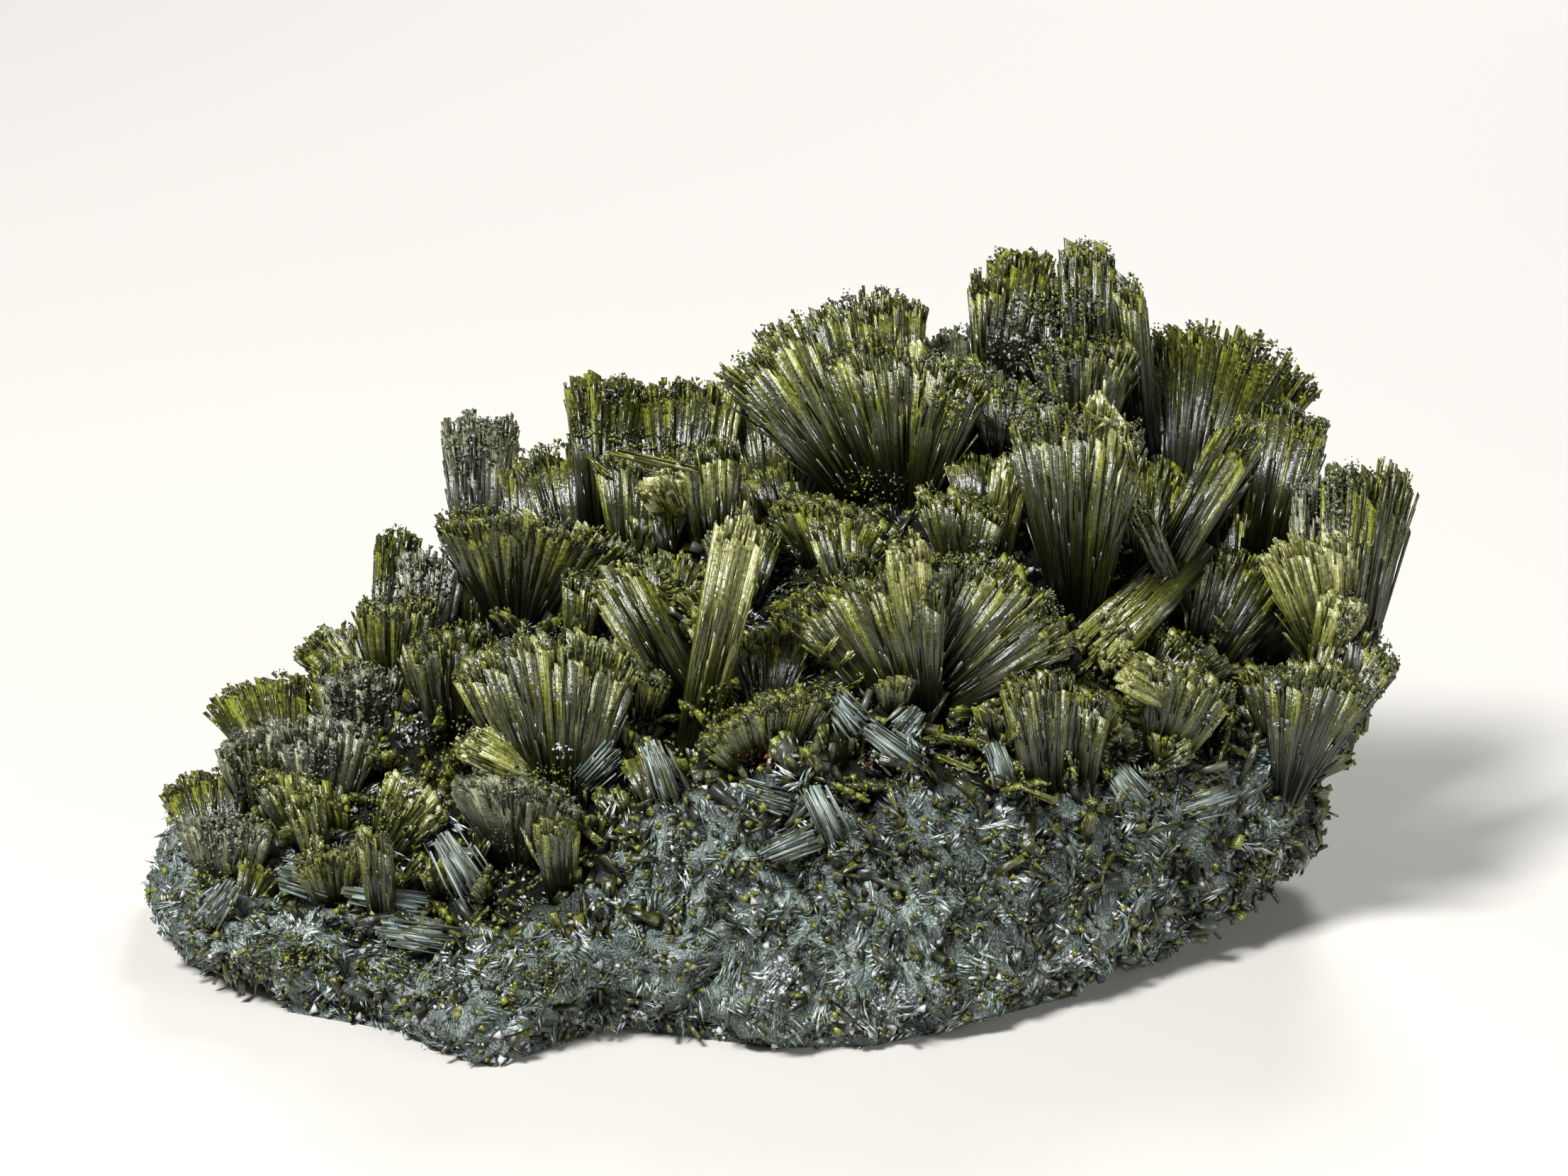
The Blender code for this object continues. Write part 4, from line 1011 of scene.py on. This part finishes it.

# %% Finish of the rock
# Sizes are in millimetres. The real needles are about a third as thick, and are drawn coarser so
# that they show. The sheen is weak between the crystals as painted shade: the hollows there would
# lie in shadow, under a dull crust of dark epidote.
FELT_PATCH = 1.1
NEEDLE_LENGTH = 1.2
NEEDLE_PITCH = 0.11
NEEDLE_SHARE = 0.55
BROAD_SHARE = 0.45
SHEEN_BARE = 0.5
SHEEN_IN_ZONE = 0.12
FULL_TURN = (6.3, 6.3, 6.3)
PATTERNS_PER_METRE = 420.0
FELT_DEPTH = 0.25


def rock_finish():
    """Felted actinolite, grey-green and silky, with dark pits, and in the zone dark epidote with painted
    shade.
    """
    made, tree, shader = finish_of("actinolite_felt", 0.62, 1.62)
    place = add(tree, "ShaderNodeTexCoord").outputs["Object"]
    patch = add(tree, "ShaderNodeTexVoronoi", {"Vector": place}, Scale=1000 / FELT_PATCH)
    turn = add(
        tree, "ShaderNodeVectorMath", {0: patch.outputs["Color"], 1: FULL_TURN},
        operation="MULTIPLY",
    )
    turned = add(
        tree, "ShaderNodeVectorRotate", {"Vector": place, "Rotation": turn.outputs[0]},
        rotation_type="EULER_XYZ",
    )
    drawn = add(
        tree, "ShaderNodeMapping", {"Vector": turned.outputs["Vector"]},
        Scale=(1000 / NEEDLE_PITCH, 1000 / NEEDLE_LENGTH, 1000 / NEEDLE_PITCH),
    )
    needles = add(
        tree, "ShaderNodeTexNoise", {"Vector": drawn.outputs["Vector"]}, Scale=1.0, Detail=1.5
    )
    broad = add(
        tree, "ShaderNodeTexNoise", {"Vector": place}, Scale=PATTERNS_PER_METRE, Detail=3.0
    )
    fine = add(
        tree, "ShaderNodeMath", {0: needles.outputs["Fac"], 1: NEEDLE_SHARE}, operation="MULTIPLY"
    )
    mixed = add(
        tree, "ShaderNodeMath", {0: broad.outputs["Fac"], 1: BROAD_SHARE, 2: fine.outputs[0]},
        operation="MULTIPLY_ADD",
    )
    bare = ramp(
        tree, mixed.outputs[0],
        [(0.34, "101413"), (0.42, "2A322F"), (0.5, "4D5954"), (0.58, "7A8882"), (0.7, "B4C0BC")],
    )
    # Near-black ramp for the crystal zone: dark epidote crust, with painted shade for the hollows.
    crusted = ramp(
        tree, mixed.outputs[0],
        [(0.38, "020201"), (0.5, "090A04"), (0.6, "191B09"), (0.72, "3A3D16")],
    )
    zone = add(tree, "ShaderNodeAttribute", attribute_name="zone")
    # Weaker sheen in the crystal zone, as painted shade for its hollows.
    sheen = add(
        tree, "ShaderNodeMath",
        {0: zone.outputs["Fac"], 1: SHEEN_IN_ZONE - SHEEN_BARE, 2: SHEEN_BARE},
        operation="MULTIPLY_ADD",
    )
    tree.links.new(sheen.outputs[0], shader.inputs["Specular IOR Level"])
    mix = add(tree, "ShaderNodeMix", {"Factor": zone.outputs["Fac"]}, data_type="RGBA")
    tree.links.new(bare, mix.inputs["A"])
    tree.links.new(crusted, mix.inputs["B"])
    tree.links.new(mix.outputs["Result"], shader.inputs["Base Color"])
    bump = add(
        tree, "ShaderNodeBump", {"Height": mixed.outputs[0]},
        Strength=0.9, Distance=FELT_DEPTH * MM,
    )
    tree.links.new(bump.outputs["Normal"], shader.inputs["Normal"])
    return made


rock.data.materials.append(rock_finish())
print("finish of the rock", rock.active_material.name)

# %% [markdown]
# Between the large fans the real specimen is full of small ones and of broken laths, so that
# hardly any rock shows there. These little fans stand on the rock wherever it carries crystals,
# roughly upright on its surface, and are built from the same laths. A few are placed one by one, in
# gaps that light would otherwise come through, in the same way as the crystals in front.

# %% Small fans between the large ones
# Lengths and widths are in millimetres, spreads and turns in degrees.
LITTLE_FANS = 500
LITTLE_SHARE = 0.33
LITTLE_FOOT = 0.8
LITTLE_LENGTHS = (1.4, 3.8)
LITTLE_SPREADS = (5, 22)
LITTLE_WIDTHS = (0.5, 1.1)
IN_GAPS = (
    ((17.0, 11.2), (17.1, 20.0), 1, 11, 1.8, 1.2), ((22.6, 1.0), (22.5, 8.8), 2, 13, 1.8, 1.2),
    ((28.2, -0.4), (28.2, 5.6), 1, 15, 1.8, 1.2), ((-16.6, 2.6), (-16.8, 8.6), 2, 13, 1.8, 1.3),
    ((13.8, 9.4), (13.8, 13.6), 1, 14, 1.4, 1.2), ((32.0, -0.6), (31.6, 5.2), 2, 12, 1.8, 1.2),
    ((-2.6, 0.4), (-2.6, 4.4), 1, 20, 1.4, 1.1), ((-7.6, -1.8), (-7.4, 2.8), 1, 20, 1.4, 1.1),
    ((0.4, 5.2), (0.2, 8.4), 1, 24, 1.4, 1.1), ((12.6, 5.4), (12.8, 8.8), 1, 22, 1.4, 1.1),
)


def spots_on(bm, count, rng):
    """Places drawn evenly over a mesh above its flat base, with the faces' normals, in mm."""
    bm.faces.ensure_lookup_table()
    corners = np.array([[vert.co[:] for vert in face.verts] for face in bm.faces]) / MM
    normals = np.array([face.normal[:] for face in bm.faces])
    area = np.array([face.calc_area() for face in bm.faces])
    area[normals[:, 2] < -0.9] = 0
    picked = rng.choice(len(area), count, p=area / area.sum())
    a, b = rng.random(count), rng.random(count)
    over = a + b > 1
    a[over], b[over] = 1 - a[over], 1 - b[over]
    p, q, r = corners[picked].transpose(1, 0, 2)
    return p + (q - p) * a[:, None] + (r - p) * b[:, None], normals[picked]


def little_fans(rng):
    """Small fans where the rock carries crystals."""
    where, normal = spots_on(rock_bm, LITTLE_FANS * 4, rng)
    chosen = np.flatnonzero(crystal_zone(where) > 0.3 + rng.random(len(where)))[:LITTLE_FANS]
    for i in chosen:
        foot = Vector(where[i])
        lean = Vector(normal[i]) * 0.6 + Vector((0, -0.1, 0.5)) + Vector(rng.normal(0, 0.42, 3))
        tip = foot + lean.normalized() * rng.uniform(*LITTLE_LENGTHS)
        yield Fan(
            "little_fan", foot, tip, rng.uniform(*LITTLE_SPREADS), rng.uniform(*LITTLE_WIDTHS),
            rng.uniform(*LITTLE_WIDTHS), rng.uniform(-70, 70),
        )


def gap_fans():
    """Fans that stand in the gaps between crystals, where the photograph shows no light through."""
    for foot, tip, lean, half_spread, width, thickness in IN_GAPS:
        start = on_rock(*foot)
        yield Fan("gap_fan", start, seen(*tip, start.y + lean), half_spread, width, thickness, 0)


little_rng = np.random.default_rng(55)
parts = []
for fan in gap_fans():
    parts += [*body_laths(fan, little_rng), face_laths(fan, little_rng)]
for fan in little_fans(little_rng):
    fan.start = fan.start + fan.axis * (ROOT - LITTLE_FOOT)
    fan.length -= ROOT - LITTLE_FOOT
    parts += [body_laths(fan, little_rng)[0], face_laths(fan, little_rng, LITTLE_SHARE)]
tell(piece("little_fans", parts, dark_epidote, "epidote"))

# %% [markdown]
# Broken laths lie between them and on the front of the rock just below, where the photograph
# shows a rubble of small olive chips, with coarser green and grey blocks among them.

# %% Chips and blocks
# The rubble is thickest a little in front of the line where the crystals start and thins out to
# both sides of that. Both distances are in millimetres.
CHIPS = 3400
BLOCKS = 420
RUBBLE_AHEAD = 1.5
RUBBLE_WIDTH = 4.5
CHIPS_ELSEWHERE = 0.06


def lift_to(lowest, *groups):
    """Raises all places that are lower than this, so that nothing goes through the floor."""
    for where in groups:
        where[:, 2] = np.maximum(where[:, 2], lowest)


def chips(count, scale, brightest, rng):
    """Broken laths near the line where the crystals start, and a few of them all over the rock."""
    where, normal = spots_on(rock_bm, count * 5, rng)
    from_rubble = (behind_line(where) + RUBBLE_AHEAD) / RUBBLE_WIDTH
    near_line = np.exp(-(from_rubble**2)) + 0.5 * crystal_zone(where)
    near_line *= np.abs(where[:, 0]) < ZONE_END
    likely = near_line + CHIPS_ELSEWHERE * (scale == 1)
    chosen = np.flatnonzero(likely > rng.random(len(where)))[:count]
    where, normal, near_line = where[chosen], normal[chosen], near_line[chosen, None]
    count = len(where)
    heading = unit(unit(rng.normal(size=(count, 3))) + normal * (0.15 + 0.6 * near_line / scale))
    side = unit(np.cross(heading, rng.normal(size=(count, 3))))
    size = rng.random(count) ** 1.6 * (0.3 + 0.7 * near_line[:, 0])
    start = where - heading * 0.3 * scale
    end = start + heading * (0.6 + 1.5 * size)[:, None] * scale**0.5
    wide = (0.16 + 0.45 * size * rng.random(count)) * scale
    thick = (0.12 + 0.2 * rng.random(count)) * scale
    lift_to(0.5 * scale, start, end)
    return copies(
        LATH, start, end, side, unit(np.cross(side, end - start)),
        ends(wide * 0.7, wide), ends(thick, thick * 0.7),
        brightest * rng.random(count), np.tile([0.1, 0.9], (count, 1)),
    )


for label, count, scale, brightest, finish, slot in (
    ("epidote_chips", CHIPS, 1, 1.0, dark_epidote, "epidote"),
    ("green_blocks", BLOCKS, 2.4, 1.0, dark_epidote, "epidote"),
    ("grey_blocks", BLOCKS, 1.9, 0.55, grey_crust, "crusted_epidote"),
):
    chip_rng = np.random.default_rng(60 + len(label))
    tell(piece(label, [chips(count, scale, brightest, chip_rng)], finish, slot))

# %% [markdown]
# Over the felt lie sheaves, a few needles side by side. Places are drawn evenly over the rock's
# faces. The rock grew in nests two or three millimetres across, so the sheaves of a nest point
# roughly one way and share a tone, from nearly black to silvery. Few lie among the crystals.

# %% Sheaves of needles on the rock
# Real needles are about a third as thick as these, which are coarser so that they show. No needle
# reaches lower than this, in millimetres.
SHEAVES = 6400
SHEAF_NEEDLES = 5
NESTS = 1500
LOWEST_NEEDLE = 0.12


def nest_of(spots, rng):
    """For each place, the number of its nest: the nearest of some places drawn over the rock."""
    tree = KDTree(NESTS)
    for i, spot in enumerate(spots_on(rock_bm, NESTS, rng)[0]):
        tree.insert(spot, i)
    tree.balance()
    return np.array([tree.find(spot)[1] for spot in spots])


def sheaves(rng):
    """Needles in sheaves over the whole rock, as centres, directions, lengths and shades."""
    centre, normal = spots_on(rock_bm, SHEAVES, rng)
    nest = nest_of(centre, rng)
    centre -= normal * (1.6 * crystal_zone(centre) ** 3 * (rng.random(SHEAVES) < 0.75))[:, None]
    grain = rng.normal(size=(NESTS, 3))[nest] + rng.normal(0, 0.45, (SHEAVES, 3))
    flat = unit(np.cross(normal, grain))
    heading = unit(flat + normal * rng.uniform(-0.15, 0.5, SHEAVES)[:, None])
    beside = unit(np.cross(heading, normal))
    length = 0.6 + 1.4 * rng.random(SHEAVES) ** 1.5
    foot = 0.2 * np.clip(1 - centre[:, 2] / 10, 0, 1)
    shade = rng.random(NESTS)[nest] * 0.92 + foot + rng.normal(0.05, 0.12, SHEAVES)
    spread = 0.2 + 0.3 * rng.random(SHEAVES)
    parts = []
    for _ in range(SHEAF_NEEDLES):
        shift = beside * (rng.uniform(-1, 1, SHEAVES) * spread)[:, None]
        shift = shift + normal * rng.uniform(-0.1, 0.3, SHEAVES)[:, None]
        shift = shift + heading * (rng.uniform(-0.3, 0.3, SHEAVES) * length)[:, None]
        aim = unit(heading + rng.normal(0, 0.07, (SHEAVES, 3)))
        reach = length * rng.uniform(0.5, 1.0, SHEAVES)
        middle = centre + shift
        start = middle - aim * (reach / 2)[:, None]
        end = middle + aim * (reach / 2)[:, None]
        lift_to(LOWEST_NEEDLE, start, end)
        wide = 0.1 + 0.1 * rng.random(SHEAVES)
        both = ends(wide, wide)
        tone = np.clip(shade + rng.normal(0, 0.12, SHEAVES), 0, 1)
        side = unit(np.cross(aim, normal))
        parts.append(copies(NEEDLE, start, end, side, np.cross(side, aim), both, both, tone))
    return parts


needles = sheaves(np.random.default_rng(21))
for label, some in (("a", needles[:2]), ("b", needles[2:4]), ("c", needles[4:])):
    tell(piece("needle_sheaves_" + label, some, needle_finish, "actinolite_rock"))

# %% [markdown]
# Between the needles sit grains of epidote, half a millimetre across, and grey-white grains of
# feldspar and calcite, more of them low down. They are drawn over the rock in the same way.

# %% Grains on the rock
GRAINS = 9000
WHITE_SHARE = 0.14
MORE_WHITE_AT_FOOT = 0.5


def rock_grains(rng):
    """Grains over the whole rock, each partly sunk into it."""
    where, normal = spots_on(rock_bm, GRAINS, rng)
    size = 0.24 + 0.46 * rng.random(GRAINS) ** 2
    low = np.clip(1 - where[:, 2] / 9, 0, 1)
    white = rng.random(GRAINS) < WHITE_SHARE + MORE_WHITE_AT_FOOT * low
    shade = np.where(white, rng.uniform(0.6, 1.0, GRAINS), rng.uniform(0.05, 0.5, GRAINS))
    where = where + normal * (size * 0.2)[:, None]
    lift_to(size * 0.85, where)
    return grains_at(where, size, shade, rng)


scattered = rock_grains(np.random.default_rng(33))
tell(piece("rock_grains", [scattered], speck_finish, "actinolite_rock"))

# %% [markdown]
# The last details sit where the photograph shows them: patches of crust, pale sticks that lie on
# the fans and bundles of light needles on the rock. Each is given by its place in the view, and a
# line from the eye through that place finds what carries it.

# %% What carries a place in the view
bpy.context.view_layer.update()
graph = bpy.context.evaluated_depsgraph_get()


def carried(across, up):
    """Where the view first meets the specimen at this place and the normal there, in mm."""
    start = eye() * MM
    aim = (seen(across, up, 0) * MM - start).normalized()
    hit, spot, normal, _, _, _ = bpy.context.scene.ray_cast(graph, start, aim)
    return (np.array(spot) / MM, np.array(normal)) if hit and spot.z > MM else None


print("the middle of the view meets the specimen at", carried(0, 0)[0].round(1), "mm")

# %% Patches of crust
# A patch is its kind, its place across and up in the view, and half its width and height, in mm.
GRAINS_PER_MM2 = 13
PATCHES = (
    ("grey", 15.6, 14.2, 2.9, 4.6), ("green", 17.2, 17.6, 3.2, 1.4), ("grey", 19.2, 18.2, 0.9, 0.8),
    ("green", 30.8, 14.2, 3.0, 1.5), ("green", 33.6, 10.6, 1.4, 2.4), ("grey", 34.6, 6.0, 1.2, 3.4),
    ("green", -14.4, 10.0, 3.8, 1.5), ("green", -8.6, 8.8, 3.0, 1.3), ("grey", -19.6, 9.2, 1.9, 2.2),
    ("grey", -10.4, 12.6, 1.3, 1.3), ("green", -7.2, 12.2, 1.8, 1.2), ("grey", -22.4, 1.0, 1.5, 2.8),
    ("grey", -25.0, -0.6, 1.3, 1.6), ("white", -23.5, -8.8, 1.1, 1.2), ("white", -23.6, -12.6, 0.8, 0.6),
    ("grey", -26.6, -7.0, 2.2, 2.4), ("grey", -35.3, -15.2, 1.9, 1.5), ("green", -15.4, -12.2, 2.6, 1.2),
    ("green", -3.6, -7.0, 1.7, 1.0), ("green", -0.4, -7.2, 2.0, 0.9), ("green", 2.4, -6.4, 1.5, 0.8),
    ("grey", 11.0, -10.2, 0.9, 2.0), ("grey", 37.0, -6.6, 1.0, 1.6), ("white", 31.4, -8.5, 0.5, 0.5),
    ("white", 31.0, -6.2, 0.4, 0.4), ("grey", 0.8, 1.0, 0.6, 1.5), ("green", 20.6, 10.0, 1.5, 0.5),
    ("grey", -29.6, -10.4, 1.6, 1.6), ("green", -33.4, -11.0, 1.8, 1.4), ("grey", 23.4, -12.0, 1.6, 1.0),
    ("green", 5.4, 6.6, 2.4, 1.0), ("grey", 12.4, 2.0, 1.2, 1.4), ("grey", 27.4, -8.4, 1.2, 0.8),
    ("green", 10.6, 12.4, 1.4, 2.4), ("grey", -17.4, -13.0, 1.4, 0.8), ("grey", 35.6, -1.8, 0.9, 2.0),
    ("green", -36.8, -19.4, 2.2, 2.4), ("green", -31.4, -23.6, 3.6, 1.8), ("green", -24.0, -24.4, 3.2, 1.6),
    ("green", -16.4, -24.2, 3.0, 2.0), ("green", 30.4, -17.8, 2.2, 1.8), ("green", 12.4, -25.4, 3.2, 1.4),
    ("green", -20.6, -9.8, 1.6, 1.8), ("green", -25.6, -13.8, 1.8, 1.4), ("white", -0.4, -24.6, 1.4, 1.0),
    ("white", 6.8, -25.8, 1.6, 0.9), ("white", 19.0, -23.6, 1.8, 0.8), ("white", -14.0, -10.2, 0.7, 0.6),
    ("rust", -1.6, -10.8, 1.5, 0.7), ("rust", 5.3, -11.0, 0.6, 0.4),
)
PATCH_SHADES = {"green": (0.05, 0.85), "grey": (0.05, 0.95), "white": (0.7, 1.0), "rust": (0.0, 0.8)}
PATCH_LOOKS = {
    "green": (druse_finish, "epidote"), "grey": (grey_crust, "crusted_epidote"),
    "white": (speck_finish, "actinolite_rock"), "rust": (rust_finish, "actinolite_rock"),
}


def patch_grains(kind, rng):
    """Grains of one kind over all its patches, thinning out towards their edges."""
    spots = []
    for look, across, up, wide, high in PATCHES:
        if look != kind:
            continue
        count = int(math.pi * wide * high * GRAINS_PER_MM2)
        for radius, angle in zip(rng.random(count) ** 0.6, math.tau * rng.random(count)):
            sideways, upwards = wide * radius * math.cos(angle), high * radius * math.sin(angle)
            spot = carried(across + sideways, up + upwards)
            if spot:
                spots.append(spot[0] + spot[1] * 0.05)
    low, high = PATCH_SHADES[kind]
    size = 0.12 + 0.26 * rng.random(len(spots)) ** 2
    return grains_at(np.array(spots), size, rng.uniform(low, high, len(spots)), rng)


for kind, (finish, slot) in PATCH_LOOKS.items():
    crust = patch_grains(kind, np.random.default_rng(len(kind)))
    tell(piece("patch_" + kind, [crust], finish, slot))

# %% Loose sticks on the fans, and light bundles on the rock
# A stick or a bundle is its foot and tip in the view and its width, in mm. A stick is itself a few
# needles grown together. Where its two ends lie at different depths it slants at most this much.
SLANT = 0.9
STICK_SLIMNESS = 0.6
STICK_RISE = 0.7
BUNDLE_NEEDLES = 100
BUNDLE_RISE = 0.4
STICKS = (
    ((18.4, 10.2), (20.4, 11.9), 0.4), ((18.6, 11.8), (20.2, 10.2), 0.35),
    ((19.4, 9.8), (20.8, 10.8), 0.35), ((18.9, 10.9), (20.7, 10.5), 0.3),
    ((22.2, 7.3), (21.6, 9.8), 0.5), ((24.3, 3.8), (25.6, 6.5), 0.8),
    ((-11.2, 8.6), (-5.4, 7.2), 1.1), ((-12.7, 8.6), (-10.8, 6.9), 0.5),
    ((2.2, -4.8), (3.4, -3.0), 0.5), ((3.4, -5.0), (4.4, -3.9), 0.5),
    ((-22.5, -17.0), (-22.4, -18.6), 0.6), ((-12.9, -15.0), (-11.3, -16.3), 0.6),
    ((-16.8, -14.8), (-15.3, -17.8), 0.25), ((9.2, -10.4), (12.2, -11.6), 0.5),
    ((-9.4, -9.6), (-8.2, -12.4), 0.5), ((27.6, -9.6), (29.8, -11.0), 0.5),
    ((14.8, -12.6), (17.4, -13.6), 0.5), ((6.4, -12.0), (7.2, -14.2), 0.5),
)
BUNDLES = (
    ((-32.0, -18.0), (-28.6, -18.9), 1.3), ((-28.0, -19.2), (-22.3, -20.2), 1.3),
    ((-26.0, -21.6), (-20.0, -22.4), 1.4), ((-21.8, -15.4), (-19.0, -20.0), 1.7),
    ((3.0, -6.8), (5.0, -9.2), 1.5), ((8.6, -7.6), (7.0, -9.4), 1.4),
    ((5.0, -8.6), (9.0, -11.6), 1.5), ((-8.6, -9.6), (-7.2, -13.6), 1.6),
    ((13.2, -9.6), (14.6, -13.4), 1.3), ((20.6, -11.2), (22.8, -14.0), 1.3),
    ((-34.6, -18.6), (-36.6, -21.4), 1.4), ((1.6, -12.4), (3.6, -16.4), 1.4),
    ((-13.0, -12.4), (-10.6, -9.8), 1.6), ((-3.0, -12.6), (0.6, -13.8), 1.2),
    ((25.0, -14.0), (28.6, -12.8), 1.4), ((-1.6, -17.0), (2.2, -15.4), 1.3),
)


def bundle(foot, tip, width, count, rise, rng):
    """Parallel needles side by side between two places in the view, on what carries them."""
    first, last = carried(*foot), carried(*tip)
    if first is None or last is None:
        return None
    nearer = min(first[0][1], last[0][1])
    start = np.array(seen(*foot, min(first[0][1], nearer + SLANT)))
    end = np.array(seen(*tip, min(last[0][1], nearer + SLANT)))
    towards = unit((np.array(eye()) - start)[None])[0]
    heading = unit((end - start)[None])[0]
    beside = unit(np.cross(heading, towards)[None])[0]
    shift = rng.normal(0, width / 4, count)
    slide = rng.uniform(0, 0.45, count) * np.linalg.norm(end - start)
    lift = rise * rng.random(count)
    base = beside * shift[:, None] + towards * lift[:, None]
    near = start + base + heading * slide[:, None]
    far = end + base * 1.15 - heading * rng.permutation(slide)[:, None]
    far = far + beside * rng.normal(0, width / 16, count)[:, None]
    side = np.tile(beside, (count, 1))
    normal = unit(np.cross(side, far - near))
    wide = (0.07 + 0.1 * rng.random(count))[:, None] * np.ones((1, 2))
    return copies(
        LATH, near, far, side, normal, wide, wide, 0.15 + 0.6 * rng.random(count),
        np.tile([0.6, 1.0], (count, 1)),
    )


stick_rng = np.random.default_rng(77)
sticks = [
    bundle(foot, tip, width * STICK_SLIMNESS, int(6 + width * 14), width * STICK_RISE, stick_rng)
    for foot, tip, width in STICKS
]
bundles = [
    bundle(foot, tip, width, BUNDLE_NEEDLES, BUNDLE_RISE, stick_rng) for foot, tip, width in BUNDLES
]
sticks = [part for part in sticks if part]
tell(piece("loose_sticks", sticks, pale_epidote, "pale_epidote"))
bundles = [part for part in bundles if part]
tell(piece("needle_bundles", bundles, needle_finish, "actinolite_rock"))

# %% [markdown]
# The floor is plain and pale, and the light is that of a small studio: a large soft light above
# and to the left, a weaker one from the right and a third one behind that draws the outlines.

# %% Floor and light
# A light is its name, its place and its width in metres, and its power in watts.
FLOOR_SIZE = 1.5
LIGHTS = (
    ("key_light", (-0.2, -0.22, 0.42), 0.12, 4.2),
    ("fill_light", (0.4, -0.3, 0.22), 0.2, 1.0),
    ("back_light", (0.1, 0.42, 0.34), 0.16, 1.8),
)
MIDDLE_OF_SPECIMEN = Vector((0, 0, 0.02))

floor_bm = bmesh.new()
bmesh.ops.create_grid(floor_bm, x_segments=1, y_segments=1, size=FLOOR_SIZE)
floor = bpy.data.objects.new("floor", bpy.data.meshes.new("floor"))
floor_bm.to_mesh(floor.data)
floor_bm.free()
bpy.context.scene.collection.objects.link(floor)
floor_paper, _, floor_shader = finish_of("floor_paper", 0.8, 1.45)
floor_shader.inputs["Base Color"].default_value = linear("C9C7C1")
floor.data.materials.append(floor_paper)
floor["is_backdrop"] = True


def soft_light(name, place, size, watts):
    """A square white light at this place, aimed at the specimen."""
    lamp = bpy.data.lights.new(name, "AREA")
    lamp.size = size
    lamp.energy = watts
    holder = bpy.data.objects.new(name, lamp)
    holder.location = place
    aim = MIDDLE_OF_SPECIMEN - Vector(place)
    holder.rotation_euler = aim.to_track_quat("-Z", "Y").to_euler()
    bpy.context.scene.collection.objects.link(holder)


for light in LIGHTS:
    soft_light(*light)

world = bpy.data.worlds.new("studio")
bpy.context.scene.world = world
world.use_nodes = True
world.node_tree.nodes["Background"].inputs["Color"].default_value = linear("E8EAEE")
world.node_tree.nodes["Background"].inputs["Strength"].default_value = 0.1
bpy.context.scene.view_settings.view_transform = "Standard"
print("lights", [name for name, *_ in LIGHTS])

# %% [markdown]
# Last, the sizes of the model's box and of the dressed scene are printed.

# %% Sizes, and the end
visual_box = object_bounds()
sizes = {"cad": [list(corner) for corner in cad_box], "visual": [list(corner) for corner in visual_box]}
for label, (low, high) in sizes.items():
    print(label, [round((b - a) * 1000, 1) for a, b in zip(low, high)])
